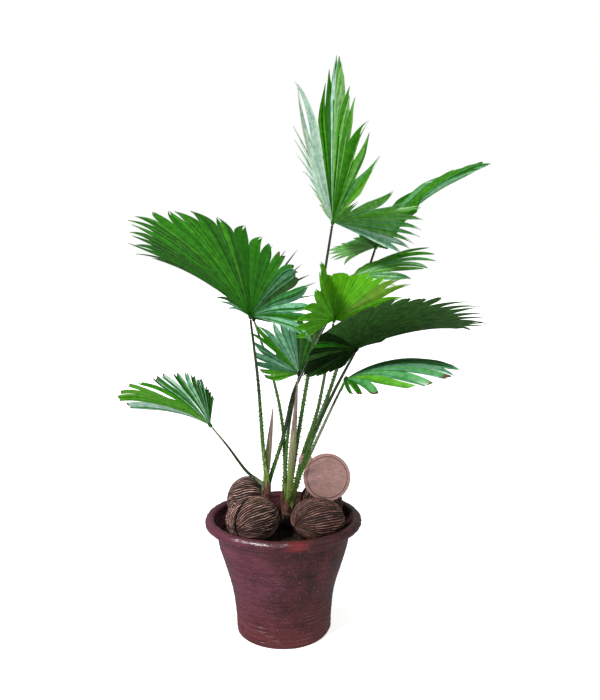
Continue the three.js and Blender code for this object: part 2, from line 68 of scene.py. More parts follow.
# A frond's blade spreads from its hub along spokes that run in order from one edge to the other:
# [heading in degrees from +X towards +Y, climb in degrees, length]. droop bends each spoke down.
# These run evenly from edge to edge: fused, the part of a leaflet's length that is joined to its
# neighbours; widths, how wide leaflets are against each other; reach, how much of the spoke they
# fill; pleat, how deeply they fold, as a share of their half width; flare, how far their free ends
# bend up off the blade. tips gives the kind of tip up to a place from edge to edge (0 to 1), and
# tones the leaf finishes in the same way: [place, upper faces, undersides], where a finish that is
# named more often is taken more often. Between two places of torn the leaflets have gone but for
# stubs. rib finishes the midribs; crease is the leaf finish for the painted shade in the folds
# between leaflets near the hub, and a second key gives the share of folds that take it; streaked is
# the share of strips in another finish than the leaflet's own.
FRONDS = {
    "low_left": {
        "hub": [-123, 20, 341], "droop": 0.7, "leaflets": 16, "fused": [0.72, 0.76, 0.76, 0.6, 0.66, 0.75],
        "spokes": [[-134, 29, 168], [-150, 35, 172], [-172, 38, 162], [160, 38, 150],
                   [140, 42, 142], [115, 46, 120], [92, 32, 80]],
        "widths": [1.5, 1.7, 1.3, 0.8, 0.8, 0.8], "pleat": [0.2, 0.2, 0.5, 0.6], "tips": [[1, "cut"]],
        "torn": [[0.36, 0.46]], "rib": "blue", "crease": "shade",
        "tones": [[0.08, "silver grass", "silver grass"], [0.48, "grass fresh", "grass grass deep"],
                  [1, "deep shade blue", "silver shade blue shade"]],
    },
    "big_left": {
        "hub": [-53, 0, 524], "droop": 0.55, "leaflets": 34,
        "fused": [0.5, 0.76, 0.78, 0.84, 0.86, 0.74, 0.68, 0.66],
        "spokes": [[116, 11, 108], [142, 40, 176], [160, 40, 226], [-175, 48, 244], [-140, 53, 246],
                   [-110, 56, 214], [-80, 57, 166], [-56, 42, 158], [-48, 16, 148], [-42, -6, 146]],
        "widths": [1.1, 0.8, 0.8, 0.9, 1, 1.1, 1.5, 1.8], "pleat": [0.3, 0.2, 0.2, 0.2, 0.4],
        "tips": [[0.42, "strap"], [0.7, "lance"], [0.8, "cut"], [1, "round"]], "torn": [[0.07, 0.15]],
        "rib": "deep", "crease": "shade", "fold_shaded": 0.5, "streaked": 0.45,
        "tones": [[0.06, "teal blue", "blue silver"], [0.24, "deep shade", "deep shade"],
                  [0.36, "deep leaf shade", "deep leaf shade"],
                  [0.58, "leaf deep", "leaf leaf deep grass shade"], [0.72, "deep leaf", "deep deep leaf"],
                  [0.84, "deep shade leaf", "deep teal shade"], [1, "teal blue deep", "teal blue deep blue"]],
    },
    "behind_left": {
        "hub": [-54, 95, 514], "droop": 0.35, "leaflets": 18, "fused": [0.45, 0.45],
        "spokes": [[150, 35, 140], [120, 55, 160], [75, 60, 172], [45, 34, 158], [57, -8, 92]],
        "pleat": [0.3], "flare": [0, 0, 0.15, 0.35, 0.35], "tips": [[1, "spike"]],
        "rib": "deep", "crease": "gloom", "tones": [[1, "shade deep gloom", "shade gloom deep"]],
    },
    "top": {
        "hub": [82, 50, 678], "droop": 0.12, "leaflets": 34,
        "fused": [0.5, 0.5, 0.5, 0.74, 0.68, 0.62, 0.6, 0.7, 0.72],
        "spokes": [[99, 18, 90], [120, 52, 142], [137, 66, 205], [138, 75, 262], [116, 81, 252],
                   [107, 85, 264], [-75, 83, 280], [-83, 66, 228], [-82, 42, 244], [-77, 36, 234],
                   [-72, 21, 202], [-57, 6, 188], [-42, 5, 178], [-33, -10, 165], [-31, -23, 140]],
        "widths": [1.2, 1.1, 0.9, 1, 1.2, 1.5, 1.1, 0.8, 0.8],
        "pleat": [0.4, 0.5, 0.6, 1.1, 1.1, 0.7, 0.6, 0.5, 0.5],
        "flare": [0, 0.06, 0.1, 0.02, 0, 0, 0, 0, 0], "tips": [[0.7, "strap"], [0.9, "lance"], [1, "strap"]],
        "torn": [[0.71, 0.745]], "rib": "pale", "crease": "deep", "fold_shaded": 0.7, "streaked": 0.6,
        "tones": [[0.16, "misty soft", "misty soft misty"], [0.32, "misty silver", "misty silver misty soft"],
                  [0.36, "deep fresh", "deep fresh grass deep"],
                  [0.42, "deep fresh silver", "deep fresh silver deep"],
                  [0.54, "soft fresh grass", "soft fresh pale grass"],
                  [0.68, "fresh soft grass", "fresh soft grass soft"],
                  [0.96, "soft mint fresh", "soft fresh mint soft soft pale"],
                  [1, "silver blue", "silver blue"]],
    },
    "bright": {
        "hub": [81, -30, 520], "droop": 0.3, "leaflets": 28, "fused": [0.6, 0.62, 0.7, 0.95, 0.95, 0.6, 0.5],
        "spokes": [[-133, -20, 96], [-120, 10, 116], [-107, 38, 114], [100, 65, 106], [55, 52, 122],
                   [24, 42, 134], [8, 32, 148], [5, 20, 128], [8, 6, 114], [20, -12, 78]],
        "widths": [1.3, 1.3, 1.1, 0.9, 0.9, 0.7, 0.6], "reach": [1, 1, 1, 0.78, 0.8, 1, 1],
        "pleat": [0.4, 0.4, 0.3, 0.12, 0.15, 0.4],
        "tips": [[0.48, "lance"], [0.7, "cut"], [1, "strap"]],
        "rib": "lime", "crease": "deep", "streaked": 0.2,
        "tones": [[0.3, "spring", "spring"], [0.78, "lime", "lime"], [1, "lime olive", "olive lime grass"]],
    },
    "dark_right": {
        "hub": [112, -90, 480], "droop": 0.55, "leaflets": 36,
        "fused": [0.9, 0.9, 0.76, 0.7, 0.84, 0.97, 0.95, 0.9, 0.8],
        "spokes": [[50, 8, 60], [44, 20, 140], [22, 20, 208], [-14, 27, 204], [-46, 35, 206],
                   [-66, 37, 184], [-94, 35, 136], [-129, 16, 110], [-151, -17, 105], [-118, -23, 55]],
        "widths": [0.8, 0.9, 1, 1, 1, 1.1, 1.2], "reach": [1, 1, 1, 1, 1, 0.94, 0.9, 0.9],
        "pleat": [0.12], "tips": [[0.42, "strap"], [0.66, "round"], [1, "lance"]],
        "rib": "shade", "crease": "gloom", "fold_shaded": 0.2, "streaked": 0.15,
        "tones": [[0.66, "shade", "shade"],
                  [1, "shade shade gloom deep", "shade shade shade gloom deep deep"]],
    },
    "low_right": {
        "hub": [94, -120, 439], "droop": 1.1, "leaflets": 18, "fused": [0.5, 0.54, 0.68, 0.84, 0.84, 0.7],
        "spokes": [[-105, -5, 50], [-70, 8, 95], [-56, 17, 135], [-43, 24, 158], [0, 28, 178],
                   [29, 26, 160], [50, 18, 120], [63, 9, 90]],
        "widths": [1.2, 1.5, 1.3, 1, 0.8, 0.8], "pleat": [0.3, 0.3, 0.24],
        "tips": [[0.44, "cut"], [0.75, "strap"], [1, "lance"]],
        "rib": "mint", "crease": "shade",
        "tones": [[0.32, "deep mint fresh", "mint grass deep"], [0.5, "mint blue silver", "mint blue silver"],
                  [1, "mint teal deep", "silver mint teal"]],
    },
    "low_centre": {
        "hub": [26, 50, 423], "droop": 0.35, "leaflets": 19, "fused": [0.66, 0.76, 0.7, 0.64, 0.6],
        "spokes": [[-121, -2, 85], [-144, 18, 90], [-165, 40, 104], [160, 45, 118], [125, 50, 122],
                   [91, 48, 148], [58, 33, 150], [46, 6, 85]],
        "widths": [1.3, 1.2, 1, 1], "pleat": [0.3, 0.4], "tips": [[0.22, "cut"], [1, "lance"]],
        "torn": [[0.3, 0.37]], "rib": "blue", "crease": "gloom", "streaked": 0.5,
        "tones": [[0.1, "grass fresh", "grass fresh"], [0.3, "teal blue", "silver teal deep"],
                  [0.46, "grass deep", "grass fresh"], [0.66, "teal blue", "teal blue deep"],
                  [1, "deep shade", "deep shade mint"]],
    },
    "back_right": {
        "hub": [164, 140, 641], "droop": 0.64, "leaflets": 26, "fused": [0.6, 0.6, 0.78, 0.92, 0.84, 0.7],
        "spokes": [[-129, -12, 100], [170, 4, 85], [120, 18, 80], [80, 38, 115], [50, 50, 205], [0, 53, 262],
                   [-42, 46, 232], [-60, 39, 186], [-62, 22, 72], [-66, -5, 55]],
        "pleat": [0.5, 0.4, 0.3], "tips": [[0.5, "lance"], [0.8, "strap"], [1, "torn"]],
        "rib": "mint", "crease": "shade",
        "tones": [[0.4, "mint soft fresh", "mint soft fresh"],
                  [1, "grass mint deep", "grass mint deep blue"]],
    },
    "mid_right": {
        "hub": [117, 72, 587], "droop": 0.9, "leaflets": 17, "fused": [0.5, 0.55, 0.6],
        "spokes": [[-60, -25, 66], [-30, 6, 100], [-18, 20, 128], [-5, 29, 150], [15, 35, 152],
                   [35, 32, 112], [70, 24, 60]],
        "widths": [1.2, 1], "pleat": [0.3], "tips": [[1, "round"]], "rib": "pale", "crease": "shade",
        "tones": [[0.4, "mint pale grass", "mint silver grass"],
                  [1, "mint fresh grass", "mint fresh grass deep"]],
    },
}

# A stalk starts at its place (a heading in degrees) in the ring of its stem, passes the points
# under via and ends at its frond's hub. teeth is the part of it that carries hooked teeth.
STALKS = {
    "low_left": {"stem": LEFT_STEM, "place": -150, "base": 2.2, "tip": 1.3, "tones": [4, 3, 3, 4],
                 "teeth": 0, "via": [[-60, 12, 262], [-95, 18, 307]]},
    "big_left": {"stem": LEFT_STEM, "place": -60, "base": 3, "tip": 1.9, "tones": [0, 1, 3, 3],
                 "teeth": 0.75, "via": [[-33, 6, 300], [-41, 2, 418]]},
    "mid_right": {"stem": LEFT_STEM, "place": 30, "base": 2.7, "tip": 1.8, "tones": [1, 3, 3, 2],
                  "teeth": 0.6, "via": [[0, 28, 321], [17, 30, 395], [34, 38, 432], [62, 64, 488]]},
    "behind_left": {"stem": CENTRE_STEM, "place": 130, "base": 2.6, "tip": 1.8, "tones": [0, 1, 2, 4],
                    "teeth": 0.6, "via": [[-1, 38, 326], [-17, 62, 407]]},
    "low_centre": {"stem": CENTRE_STEM, "place": 175, "base": 2.6, "tip": 1.8, "tones": [0, 1, 2, 3],
                   "teeth": 0.6, "via": [[8, 30, 330]]},
    "top": {"stem": CENTRE_STEM, "place": 85, "base": 2.8, "tip": 1.9, "tones": [0, 1, 2, 3],
            "teeth": 0.65, "via": [[25, 26, 325], [48, 36, 465]]},
    "back_right": {"stem": CENTRE_STEM, "place": 40, "base": 2.8, "tip": 1.9, "tones": [0, 1, 2, 3],
                   "teeth": 0.6, "via": [[46, 40, 308], [83, 77, 400], [106, 98, 470]]},
    "bright": {"stem": CENTRE_STEM, "place": -5, "base": 2.8, "tip": 1.9, "tones": [0, 1, 2, 2],
               "teeth": 0.65, "via": [[32, 14, 290], [56, -8, 371]]},
    "dark_right": {"stem": CENTRE_STEM, "place": -50, "base": 2.7, "tip": 1.9, "tones": [0, 2, 3, 3],
                   "teeth": 0.6, "via": [[51, -36, 340], [82, -65, 416]]},
    "low_right": {"stem": CENTRE_STEM, "place": -95, "base": 2.7, "tip": 1.7, "tones": [0, 1, 4, 3],
                  "teeth": 0.3, "via": [[50, -54, 325], [77, -94, 396]]},
}

# Unopened leaves, still folded into slim pleated lances. foot is their radius at the foot, and
# radius about what they have where they are fullest.
SPEARS = {
    "spear_left": {"stem": LEFT_STEM, "place": 120, "tip": [-17, 16, 374], "radius": 3.6, "foot": 2.4},
    "spear_centre": {"stem": CENTRE_STEM, "place": None, "tip": [24, 20, 420], "radius": 4, "foot": 3},
}

# Woody fruits: half gives their half sizes and turn their turn about the vertical in degrees. pole is
# where the husk's strands come together, as a direction on the fruit, and twist how far they wind
# about it on their way to the other end, in radians per radian.
NUTS = {
    "nut_front_left": {"at": [-49, -42, 201], "half": [44, 34, 37], "turn": 10, "pole": [-0.71, -0.59, -0.4],
                       "twist": -0.35},
    "nut_front_right": {"at": [56, -38, 199], "half": [44, 34, 35], "turn": -8, "pole": [-0.77, -0.61, -0.15],
                        "twist": -0.15},
    "nut_back_left": {"at": [-63, 42, 205], "half": [36, 33, 41], "turn": 25, "pole": [-0.9, 0.31, -0.3],
                      "twist": -0.2},
    "nut_back_right": {"at": [64, 36, 203], "half": [37, 34, 38], "turn": -20, "pole": [0.3, 0.5, 0.8],
                       "twist": 0.2},
}

# at is the middle of the tag, which leans back and is turned by degrees. The middle of its lobe lies
# lobe_out from there towards lobe_heading.
TAG = {"radius": 39, "thickness": 5, "at": [72, -2, 258], "lean": 12, "turn": 4,
       "lobe_radius": 12, "eye_radius": 4.5, "lobe_out": 44, "lobe_heading": 142}


# ------------------------------------------------------------------ materials

def linear(code):
    """A sRGB hex colour such as #4f8a3c as the linear colour that a shader takes."""
    channels = [int(code[k:k + 2], 16) / 255 for k in (1, 3, 5)]
    return [c / 12.92 if c <= 0.04045 else ((c + 0.055) / 1.055) ** 2.4 for c in channels] + [1.0]


def node(tree, kind, values=(), links=(), **settings):
    """Adds one node: settings are its options, values its inputs, links the sockets that feed it."""
    made = tree.nodes.new(kind)
    for name, value in settings.items():
        setattr(made, name, value)
    for socket, value in dict(values).items():
        made.inputs[socket].default_value = value
    for socket, source in dict(links).items():
        tree.links.new(source, made.inputs[socket])
    return made


def start_material(name):
    """An empty node tree with the object's own coordinates in metres."""
    made = bpy.data.materials.new(name)
    made.use_nodes = True
    tree = made.node_tree
    tree.nodes.clear()
    place = node(tree, "ShaderNodeTexCoord")
    return made, tree, place.outputs["Object"]


def per_mm(size):
    """The scale of a noise whose features are size millimetres across."""
    return 1 / (size * MM)


def close_material(tree, values, links):
    """The surface itself and the output."""
    surface = node(tree, "ShaderNodeBsdfPrincipled", values, links)
    node(tree, "ShaderNodeOutputMaterial", links={"Surface": surface.outputs["BSDF"]})


def mottled(tree, place, size, low, high, detail=4.0):
    """Colour that drifts between two shades over patches of about size millimetres."""
    noise = node(tree, "ShaderNodeTexNoise", {"Scale": per_mm(size), "Detail": detail}, {"Vector": place})
    share = node(tree, "ShaderNodeMapRange", {"From Min": 0.35, "From Max": 0.65},
                 {"Value": noise.outputs["Fac"]})
    mix = node(tree, "ShaderNodeMix", {"A": linear(low), "B": linear(high)},
               {"Factor": share.outputs["Result"]}, data_type="RGBA")
    return mix.outputs["Result"]


def laid_over(tree, base, code, value, full_at, gone_at, most):
    """The base colour under another, whose share falls from most to nothing as the value goes from
    full_at to gone_at."""
    share = node(tree, "ShaderNodeMapRange",
                 {"From Min": full_at, "From Max": gone_at, "To Min": most, "To Max": 0.0}, {"Value": value})
    mix = node(tree, "ShaderNodeMix", {"B": linear(code)}, {"Factor": share.outputs["Result"], "A": base},
               data_type="RGBA")
    return mix.outputs["Result"]


def grained(tree, place, size, height, strength, detail=4.0, under=None):
    """Normals of a skin with grain about size millimetres across and height millimetres high, on the
    relief under it."""
    noise = node(tree, "ShaderNodeTexNoise", {"Scale": per_mm(size), "Detail": detail}, {"Vector": place})
    links = {"Height": noise.outputs["Fac"]}
    if under is not None:
        links["Normal"] = under
    bump = node(tree, "ShaderNodeBump", {"Strength": strength, "Distance": height * MM}, links)
    return bump.outputs["Normal"]


def plain_material(name, size, low, high, values, detail=4.0, stretch=None, grain=None):
    """A material mottled between two shades over patches of size millimetres. stretch scales its
    patterns: less than 1 draws them out along an axis. grain is what grained makes of its skin."""
    made, tree, place = start_material(name)
    if stretch is not None:
        place = node(tree, "ShaderNodeMapping", {"Scale": stretch}, {"Vector": place}).outputs["Vector"]
    links = {"Base Color": mottled(tree, place, size, low, high, detail)}
    if grain is not None:
        links["Normal"] = grained(tree, place, **grain)
    close_material(tree, values, links)
    return made


# Leaf finishes: [shaded green, lit green, roughness, gloss].
LEAF_GREENS = {
    # The two darkest greens are painted shade, for leaves that lie in the plant's shadow.
    "gloom": ["#0a1a06", "#12260a", 0.6, 0.1],
    "shade": ["#223e16", "#2e5422", 0.5, 0.2],
    "deep": ["#1a5a04", "#256c08", 0.45, 0.2],
    "leaf": ["#236a06", "#2f7e0a", 0.45, 0.2],
    "grass": ["#2c7206", "#3f9010", 0.42, 0.25],
    "fresh": ["#4a9018", "#60aa30", 0.4, 0.3],
    # These two are the bright frond's yellow green with a painted glow of light passing through it.
    "lime": ["#4a9602", "#5cac06", 0.5, 0.2],
    "spring": ["#50a806", "#62c00c", 0.5, 0.2],
    "olive": ["#4c7a14", "#64901e", 0.5, 0.2],
    "soft": ["#609c48", "#80b868", 0.42, 0.4],
    "mint": ["#3f8a46", "#5fa866", 0.34, 0.6],
    # These three are partly the leaves' own paler blue green and partly a painted sheen.
    "teal": ["#2c6340", "#44805a", 0.36, 0.6],
    "blue": ["#4c8a62", "#78b08c", 0.32, 0.7],
    "silver": ["#86b09c", "#b8d4c8", 0.36, 0.7],
    # These two are painted light on backlit and shining leaflets, and the first is also the midribs' own
    # paler green.
    "pale": ["#9cbf8e", "#c4deb6", 0.5, 0.4],
    "misty": ["#96a68e", "#b0c0a8", 0.55, 0.3],
}


def leaf_material(name, low, high, roughness, gloss):
    """Palm leaf with its waxy skin: a soft broad gloss over fine veins, greener in some patches."""
    return plain_material(f"palm_leaf_{name}", 9, low, high,
                          {"Roughness": roughness, "IOR": 1.45, "Specular IOR Level": gloss},
                          grain={"size": 1.6, "height": 0.3, "strength": 0.25, "detail": 3.0})


def dry_tip_material():
    """Dried leaf where a tip has died back or was cut: papery, straw to brown, without gloss."""
    return plain_material("dry_leaf", 5, "#2e2218", "#66523a", {"Roughness": 0.8, "IOR": 1.4})


# Stalk finishes from the pale foot to the dark upper end, and a greyish one: [shaded, lit].
STALK_TONES = [["#4c6828", "#86984c"], ["#244a10", "#487426"], ["#28441a", "#48682c"],
               ["#182a12", "#2f4024"], ["#525a40", "#7c8266"]]
DARK_RIND = 3


def stalk_material(number):
    """Leaf stalk: a smooth waxed rind, mottled in faint streaks along it."""
    return plain_material(f"stalk_rind_{number}", 1.6, *STALK_TONES[number],
                          {"Roughness": 0.38, "IOR": 1.45, "Coat Weight": 0.1, "Coat Roughness": 0.25},
                          stretch=(1, 1, 0.12))


def tooth_material():
    """The stalk's hard hooked teeth: horny, nearly black brown, with a slight polish."""
    return plain_material("stalk_tooth", 3, "#14130d", "#33301c", {"Roughness": 0.35, "IOR": 1.5})


def fibre_material(name, low, high):
    """Leaf sheath that has frayed to fibres: dull, matted, red brown strands."""
    return plain_material(name, 1.6, low, high, {"Roughness": 0.85, "IOR": 1.45}, stretch=(1, 1, 0.1),
                          grain={"size": 1.1, "height": 0.5, "strength": 0.7, "detail": 5.0})


# Folded leaves from the green foot to the purple brown upper end: [shaded, lit].
SPEAR_TONES = [["#5d7a2e", "#8a9c4e"], ["#6b6c48", "#96946c"], ["#5f4c4a", "#94807a"]]


def spear_material(number):
    """A folded young leaf: fine down on its pleats, green at the foot and purple brown above."""
    return plain_material(f"folded_leaf_{number}", 1.2, *SPEAR_TONES[number],
                          {"Roughness": 0.6, "IOR": 1.45, "Sheen Weight": 0.2, "Sheen Roughness": 0.5},
                          stretch=(1, 1, 0.08))


# Husk crests of each fruit: [dark, light]. They differ from fruit to fruit in painted light and shade:
# lighter on the two left-hand fruits, lightest at the back, and darker on the two right-hand ones.
LIT_AND_SHADED_HUSK_TONES = {
    "nut_front_left": ["#8a5c50", "#deb0a0"], "nut_front_right": ["#6a4036", "#ac7c6c"],
    "nut_back_left": ["#a4766a", "#f4ccbe"], "nut_back_right": ["#6a4036", "#ac7c6c"],
}


def husk_material(name):
    """Dried fruit husk: dull woody strands, lighter on their crests than in the grooves between, whose
    near black is painted shade.
    """
    made, tree, place = start_material(f"dry_husk_{name}")
    relief = node(tree, "ShaderNodeAttribute", attribute_name="relief")
    crest = node(tree, "ShaderNodeMapRange", {"From Min": 0.5, "From Max": 0.96},
                 {"Value": relief.outputs["Fac"]})
    # The grooves' near black is painted shade.
    colour = node(tree, "ShaderNodeMix", {"A": linear("#200b07")},
                  {"Factor": crest.outputs["Result"], "B": mottled(tree, place, 7, *LIT_AND_SHADED_HUSK_TONES[name])},
                  data_type="RGBA")
    close_material(tree, {"Roughness": 0.8, "IOR": 1.5},
                   {"Base Color": colour.outputs["Result"],
                    "Normal": grained(tree, place, size=1.3, height=0.4, strength=0.6)})
    return made


RED_PLACE = (24 * MM, -126 * MM, 186 * MM)  # where the glaze has turned red on the lip


def glaze_material(name, coat, roughness):
    """Maroon glaze over thrown stoneware, mottled from maroon to nearly black. Plum laid over its left
    side is painted light, where the key lamp falls; it is oxblood by the foot and in one place on the
    lip. It breaks paler over the wheel's ridges, with faint streaks, fine grit and a broken wet gloss."""
    made, tree, place = start_material(name)
    axes = node(tree, "ShaderNodeSeparateXYZ", links={"Vector": place}).outputs
    cloud = node(tree, "ShaderNodeTexNoise", {"Scale": per_mm(50), "Detail": 6.0}, {"Vector": place})
    across, up = (node(tree, "ShaderNodeMath", {1: reach * MM}, {0: cloud.outputs["Fac"], 2: axes[axis]},
                       operation="MULTIPLY_ADD") for axis, reach in (("X", 140), ("Z", 120)))
    round_wall = node(tree, "ShaderNodeMapping", {"Scale": (0.05, 0.05, 1)}, {"Vector": place})
    streaks = node(tree, "ShaderNodeTexNoise", {"Scale": per_mm(2.4), "Detail": 5.0},
                   {"Vector": round_wall.outputs["Vector"]})
    grit = node(tree, "ShaderNodeTexNoise", {"Scale": per_mm(3.2), "Detail": 5.0}, {"Vector": place})
    ridge = node(tree, "ShaderNodeAttribute", attribute_name="relief")
    apart = node(tree, "ShaderNodeVectorMath", {1: RED_PLACE}, {0: place}, operation="DISTANCE")
    colour = mottled(tree, place, 30, "#2e0c12", "#50181e", 6.0)
    for layer in (
            # plum on the left side: painted light where the key lamp falls
            ("#6a2e42", across.outputs["Value"], -30 * MM, 100 * MM, 1.0),  # plum to one side
            ("#601e20", up.outputs["Value"], 70 * MM, 150 * MM, 0.7),  # oxblood by the foot
            ("#1a0a0c", streaks.outputs["Fac"], 0.36, 0.52, 0.4),  # dark streaks round the wall
            ("#180a0c", grit.outputs["Fac"], 0.4, 0.48, 0.4),  # dark grit
            ("#7a4a50", grit.outputs["Fac"], 0.72, 0.58, 0.5),  # pale grit
            ("#a07068", ridge.outputs["Fac"], 1.0, 0.7, 0.55),  # thin glaze over the wheel's ridges
            ("#8a1c22", apart.outputs["Value"], 4 * MM, 26 * MM, 0.5)):  # the red place on the lip
        colour = laid_over(tree, colour, *layer)
    ringed = node(tree, "ShaderNodeBump", {"Strength": 0.3, "Distance": 0.5 * MM},
                  {"Height": streaks.outputs["Fac"]})
    gritty = node(tree, "ShaderNodeBump", {"Strength": 0.6, "Distance": 0.9 * MM},
                  {"Height": grit.outputs["Fac"], "Normal": ringed.outputs["Normal"]})
    wet = grained(tree, place, size=2.5, height=0.7, strength=1.0, detail=2.0,
                  under=gritty.outputs["Normal"])
    rough = node(tree, "ShaderNodeMapRange",
                 {"From Min": 0.3, "From Max": 0.7, "To Min": roughness, "To Max": roughness + 0.2},
                 {"Value": streaks.outputs["Fac"]})
    close_material(tree, {"IOR": 1.52, "Coat Weight": coat, "Coat Roughness": 0.12},
                   {"Base Color": colour, "Normal": gritty.outputs["Normal"],
                    "Roughness": rough.outputs["Result"], "Coat Normal": wet})
    return made


def clay_material():
    """Bare fired clay on the pot's underside: matt and slightly gritty."""
    return plain_material("bare_clay", 4, "#6f4334", "#8a5a45", {"Roughness": 0.9, "IOR": 1.5})


def soil_material():
    """Damp potting mix: nearly black, crumbly, with paler specks of bark."""
    return plain_material("potting_mix", 3, "#120b08", "#33241a", {"Roughness": 0.95, "IOR": 1.4},
                          detail=6.0, grain={"size": 2.5, "height": 1.2, "strength": 1.0, "detail": 6.0})


def wood_tag_material():
    """A slice of pinkish wood, sanded and waxed: fine grain across its face and a dull surface."""
    return plain_material("sanded_wood", 2, "#8a6660", "#a07c76", {"Roughness": 0.62, "IOR": 1.5},
                          detail=5.0, stretch=(0.25, 1, 1),
                          grain={"size": 1.0, "height": 0.3, "strength": 0.3, "detail": 5.0})


def burnt_line_material():
    """A line burnt into the wood: dark, charred and dull."""
    return plain_material("burnt_line", 2, "#2c1b18", "#4a302a", {"Roughness": 0.85, "IOR": 1.45})


FLOOR_GLOW = 0.7  # lit from below, as a light table is, which keeps shadows pale


def floor_material():
    """Plain pale studio floor, matt."""
    return plain_material("studio_floor", 4000, "#fafafa", "#fbfbfb",
                          {"Roughness": 0.9, "Emission Color": (1, 1, 1, 1), "Emission Strength": FLOOR_GLOW})


LEAF = {name: leaf_material(name, *tones) for name, tones in LEAF_GREENS.items()}
DRY_TIP = dry_tip_material()
RIND = [stalk_material(number) for number in range(len(STALK_TONES))]
TOOTH = tooth_material()
SHEATH = fibre_material("leaf_sheath", "#26120f", "#84544a")
# Nearly black sheath for the stems' lower parts: painted shade low in the pot among the fruits.
SHADOWED_SHEATH = fibre_material("shadowed_sheath", "#100807", "#2c1713")
STRAND = fibre_material("sheath_strands", "#6a3c30", "#a8826c")
FOLDED = [spear_material(number) for number in range(len(SPEAR_TONES))]
HUSK = {name: husk_material(name) for name in NUTS}
GLAZE = glaze_material("maroon_glaze", 0.75, 0.3)
DULL_GLAZE = glaze_material("dusty_glaze", 0.0, 0.75)
CLAY = clay_material()
SOIL = soil_material()
WOOD = wood_tag_material()
BURNT = burnt_line_material()


# ------------------------------------------------------------------ mesh building

class Body:
    """Gathers points (mm), faces and each face's finish for one joined piece."""

    def __init__(self):
        self.points = []
        self.faces = []
        self.finish = []
        self.total = 0

    def add(self, points, faces, finish):
        """faces index into points; finish is one number or one for each face."""
        points = np.asarray(points, float).reshape(-1, 3)
        self.points.append(points)
        self.faces.extend([[corner + self.total for corner in face] for face in faces])
        if isinstance(finish, int):
            finish = [finish] * len(faces)
        self.finish.extend(finish)
        self.total += len(points)

    def add_tube(self, rings, finish, ends=()):
        """A closed tube through the rings. finish may also be a function that gives each quad's
        finish from its row, with ends for the two end faces."""
        rows, columns = rings.shape[:2]
        if callable(finish):
            finish = [finish(r) for r in range(rows - 1) for _ in range(columns)] + ends
        self.add(rings, tube_faces(rows, columns), finish)

    def make(self, name, nodes, materials, crease, values=None):
        """Turns it into a piece of the root body that stands for the named solids. Edges sharper than
        crease, in degrees, stay sharp; values is each point's relief, for its material."""
        mesh = bpy.data.meshes.new(name)
        mesh.from_pydata((np.vstack(self.points) * MM).tolist(), [], self.faces)
        for material in materials:
            mesh.materials.append(material)
        mesh.polygons.foreach_set("material_index", self.finish)
        mesh.polygons.foreach_set("use_smooth", [True] * len(self.faces))
        mesh.set_sharp_from_angle(angle=math.radians(crease))
        if values is not None:
            mesh.attributes.new("relief", "FLOAT", "POINT").data.foreach_set("value", values)
        mesh.validate()
        made = bpy.data.objects.new(name, mesh)
        bpy.context.scene.collection.objects.link(made)
        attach(made, "root")
        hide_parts(*nodes)


def grid_faces(rows, columns):
    """Quads between the rows of a grid of points, whose last column joins the first."""
    faces = []
    for r in range(rows - 1):
        for c in range(columns):
            n = (c + 1) % columns
            faces.append([r * columns + c, r * columns + n, (r + 1) * columns + n, (r + 1) * columns + c])
    return faces


def tube_faces(rows, columns):
    """A closed tube's quads and its two end faces."""
    start = list(range(columns))[::-1]
    end = [(rows - 1) * columns + c for c in range(columns)]
    return grid_faces(rows, columns) + [start, end]


def unit(vectors):
    """The vectors at length 1."""
    vectors = np.asarray(vectors, float)
    return vectors / np.maximum(np.linalg.norm(vectors, axis=-1, keepdims=True), 1e-9)


def compass(heading, climb=0):
    """Unit vector of a heading from +X towards +Y and a climb, in degrees."""
    heading, climb = np.radians(heading), np.radians(climb)
    return np.stack([np.cos(climb) * np.cos(heading), np.cos(climb) * np.sin(heading),
                     np.sin(climb) + 0 * heading], -1)


def full_turn(columns):
    """Even angles round a circle, in radians."""
    return np.linspace(0, 2 * np.pi, columns, endpoint=False)


def about_z(degrees):
    """The matrix that turns points about the Z axis."""
    c, s = math.cos(math.radians(degrees)), math.sin(math.radians(degrees))
    return np.array([[c, -s, 0], [s, c, 0], [0, 0, 1]])


RIPPLE_WAVES = 14
RIPPLE_LENGTHS = (1.4, 2.6)  # wavelengths for lumps of size 1
RIPPLE_PEAK = 1.5  # what the summed waves seldom pass, in standard deviations


def ripple(points, size, seed):
    """Smooth relief, mostly from -1 to 1, with lumps about size across: a sum of plane waves."""
    draw = np.random.default_rng(seed)
    directions = unit(draw.normal(size=(RIPPLE_WAVES, 3)))
    phases = draw.uniform(0, 2 * np.pi, RIPPLE_WAVES)
    lengths = size * draw.uniform(*RIPPLE_LENGTHS, RIPPLE_WAVES)
    turns = points @ (directions * (2 * np.pi / lengths)[:, None]).T + phases
    return np.sin(turns).sum(axis=-1) / math.sqrt(RIPPLE_WAVES / 2) / RIPPLE_PEAK


def smooth(knots, values, at):
    """A smooth run through values at knots, for directions, lengths and places alike."""
    last = len(knots) - 1
    before = np.maximum(np.arange(last + 1) - 1, 0)
    after = np.minimum(np.arange(last + 1) + 1, last)
    slopes = (values[after] - values[before]) / (knots[after] - knots[before])
    k = np.clip(np.searchsorted(knots, at, side="right") - 1, 0, last - 1)
    step = knots[k + 1] - knots[k]
    t = (at - knots[k]) / step
    rise = t * t * (3 - 2 * t)
    return (values[k] * (1 - rise) + values[k + 1] * rise
            + step * slopes[k] * t * (1 - t) ** 2 - step * slopes[k + 1] * t * t * (1 - t))


def distance_along(points):
    """How far each point is from the first, along the line through them."""
    return np.concatenate([[0], np.cumsum(np.linalg.norm(np.diff(points, axis=0), axis=1))])


def points_along(points, reach, places):
    """Points of the line at some places along it, where reach is each given point's place."""
    return np.column_stack([np.interp(places, reach, column) for column in np.transpose(points)])


CURVE_FINENESS = 24  # points between two knots before a curve is cut into even steps


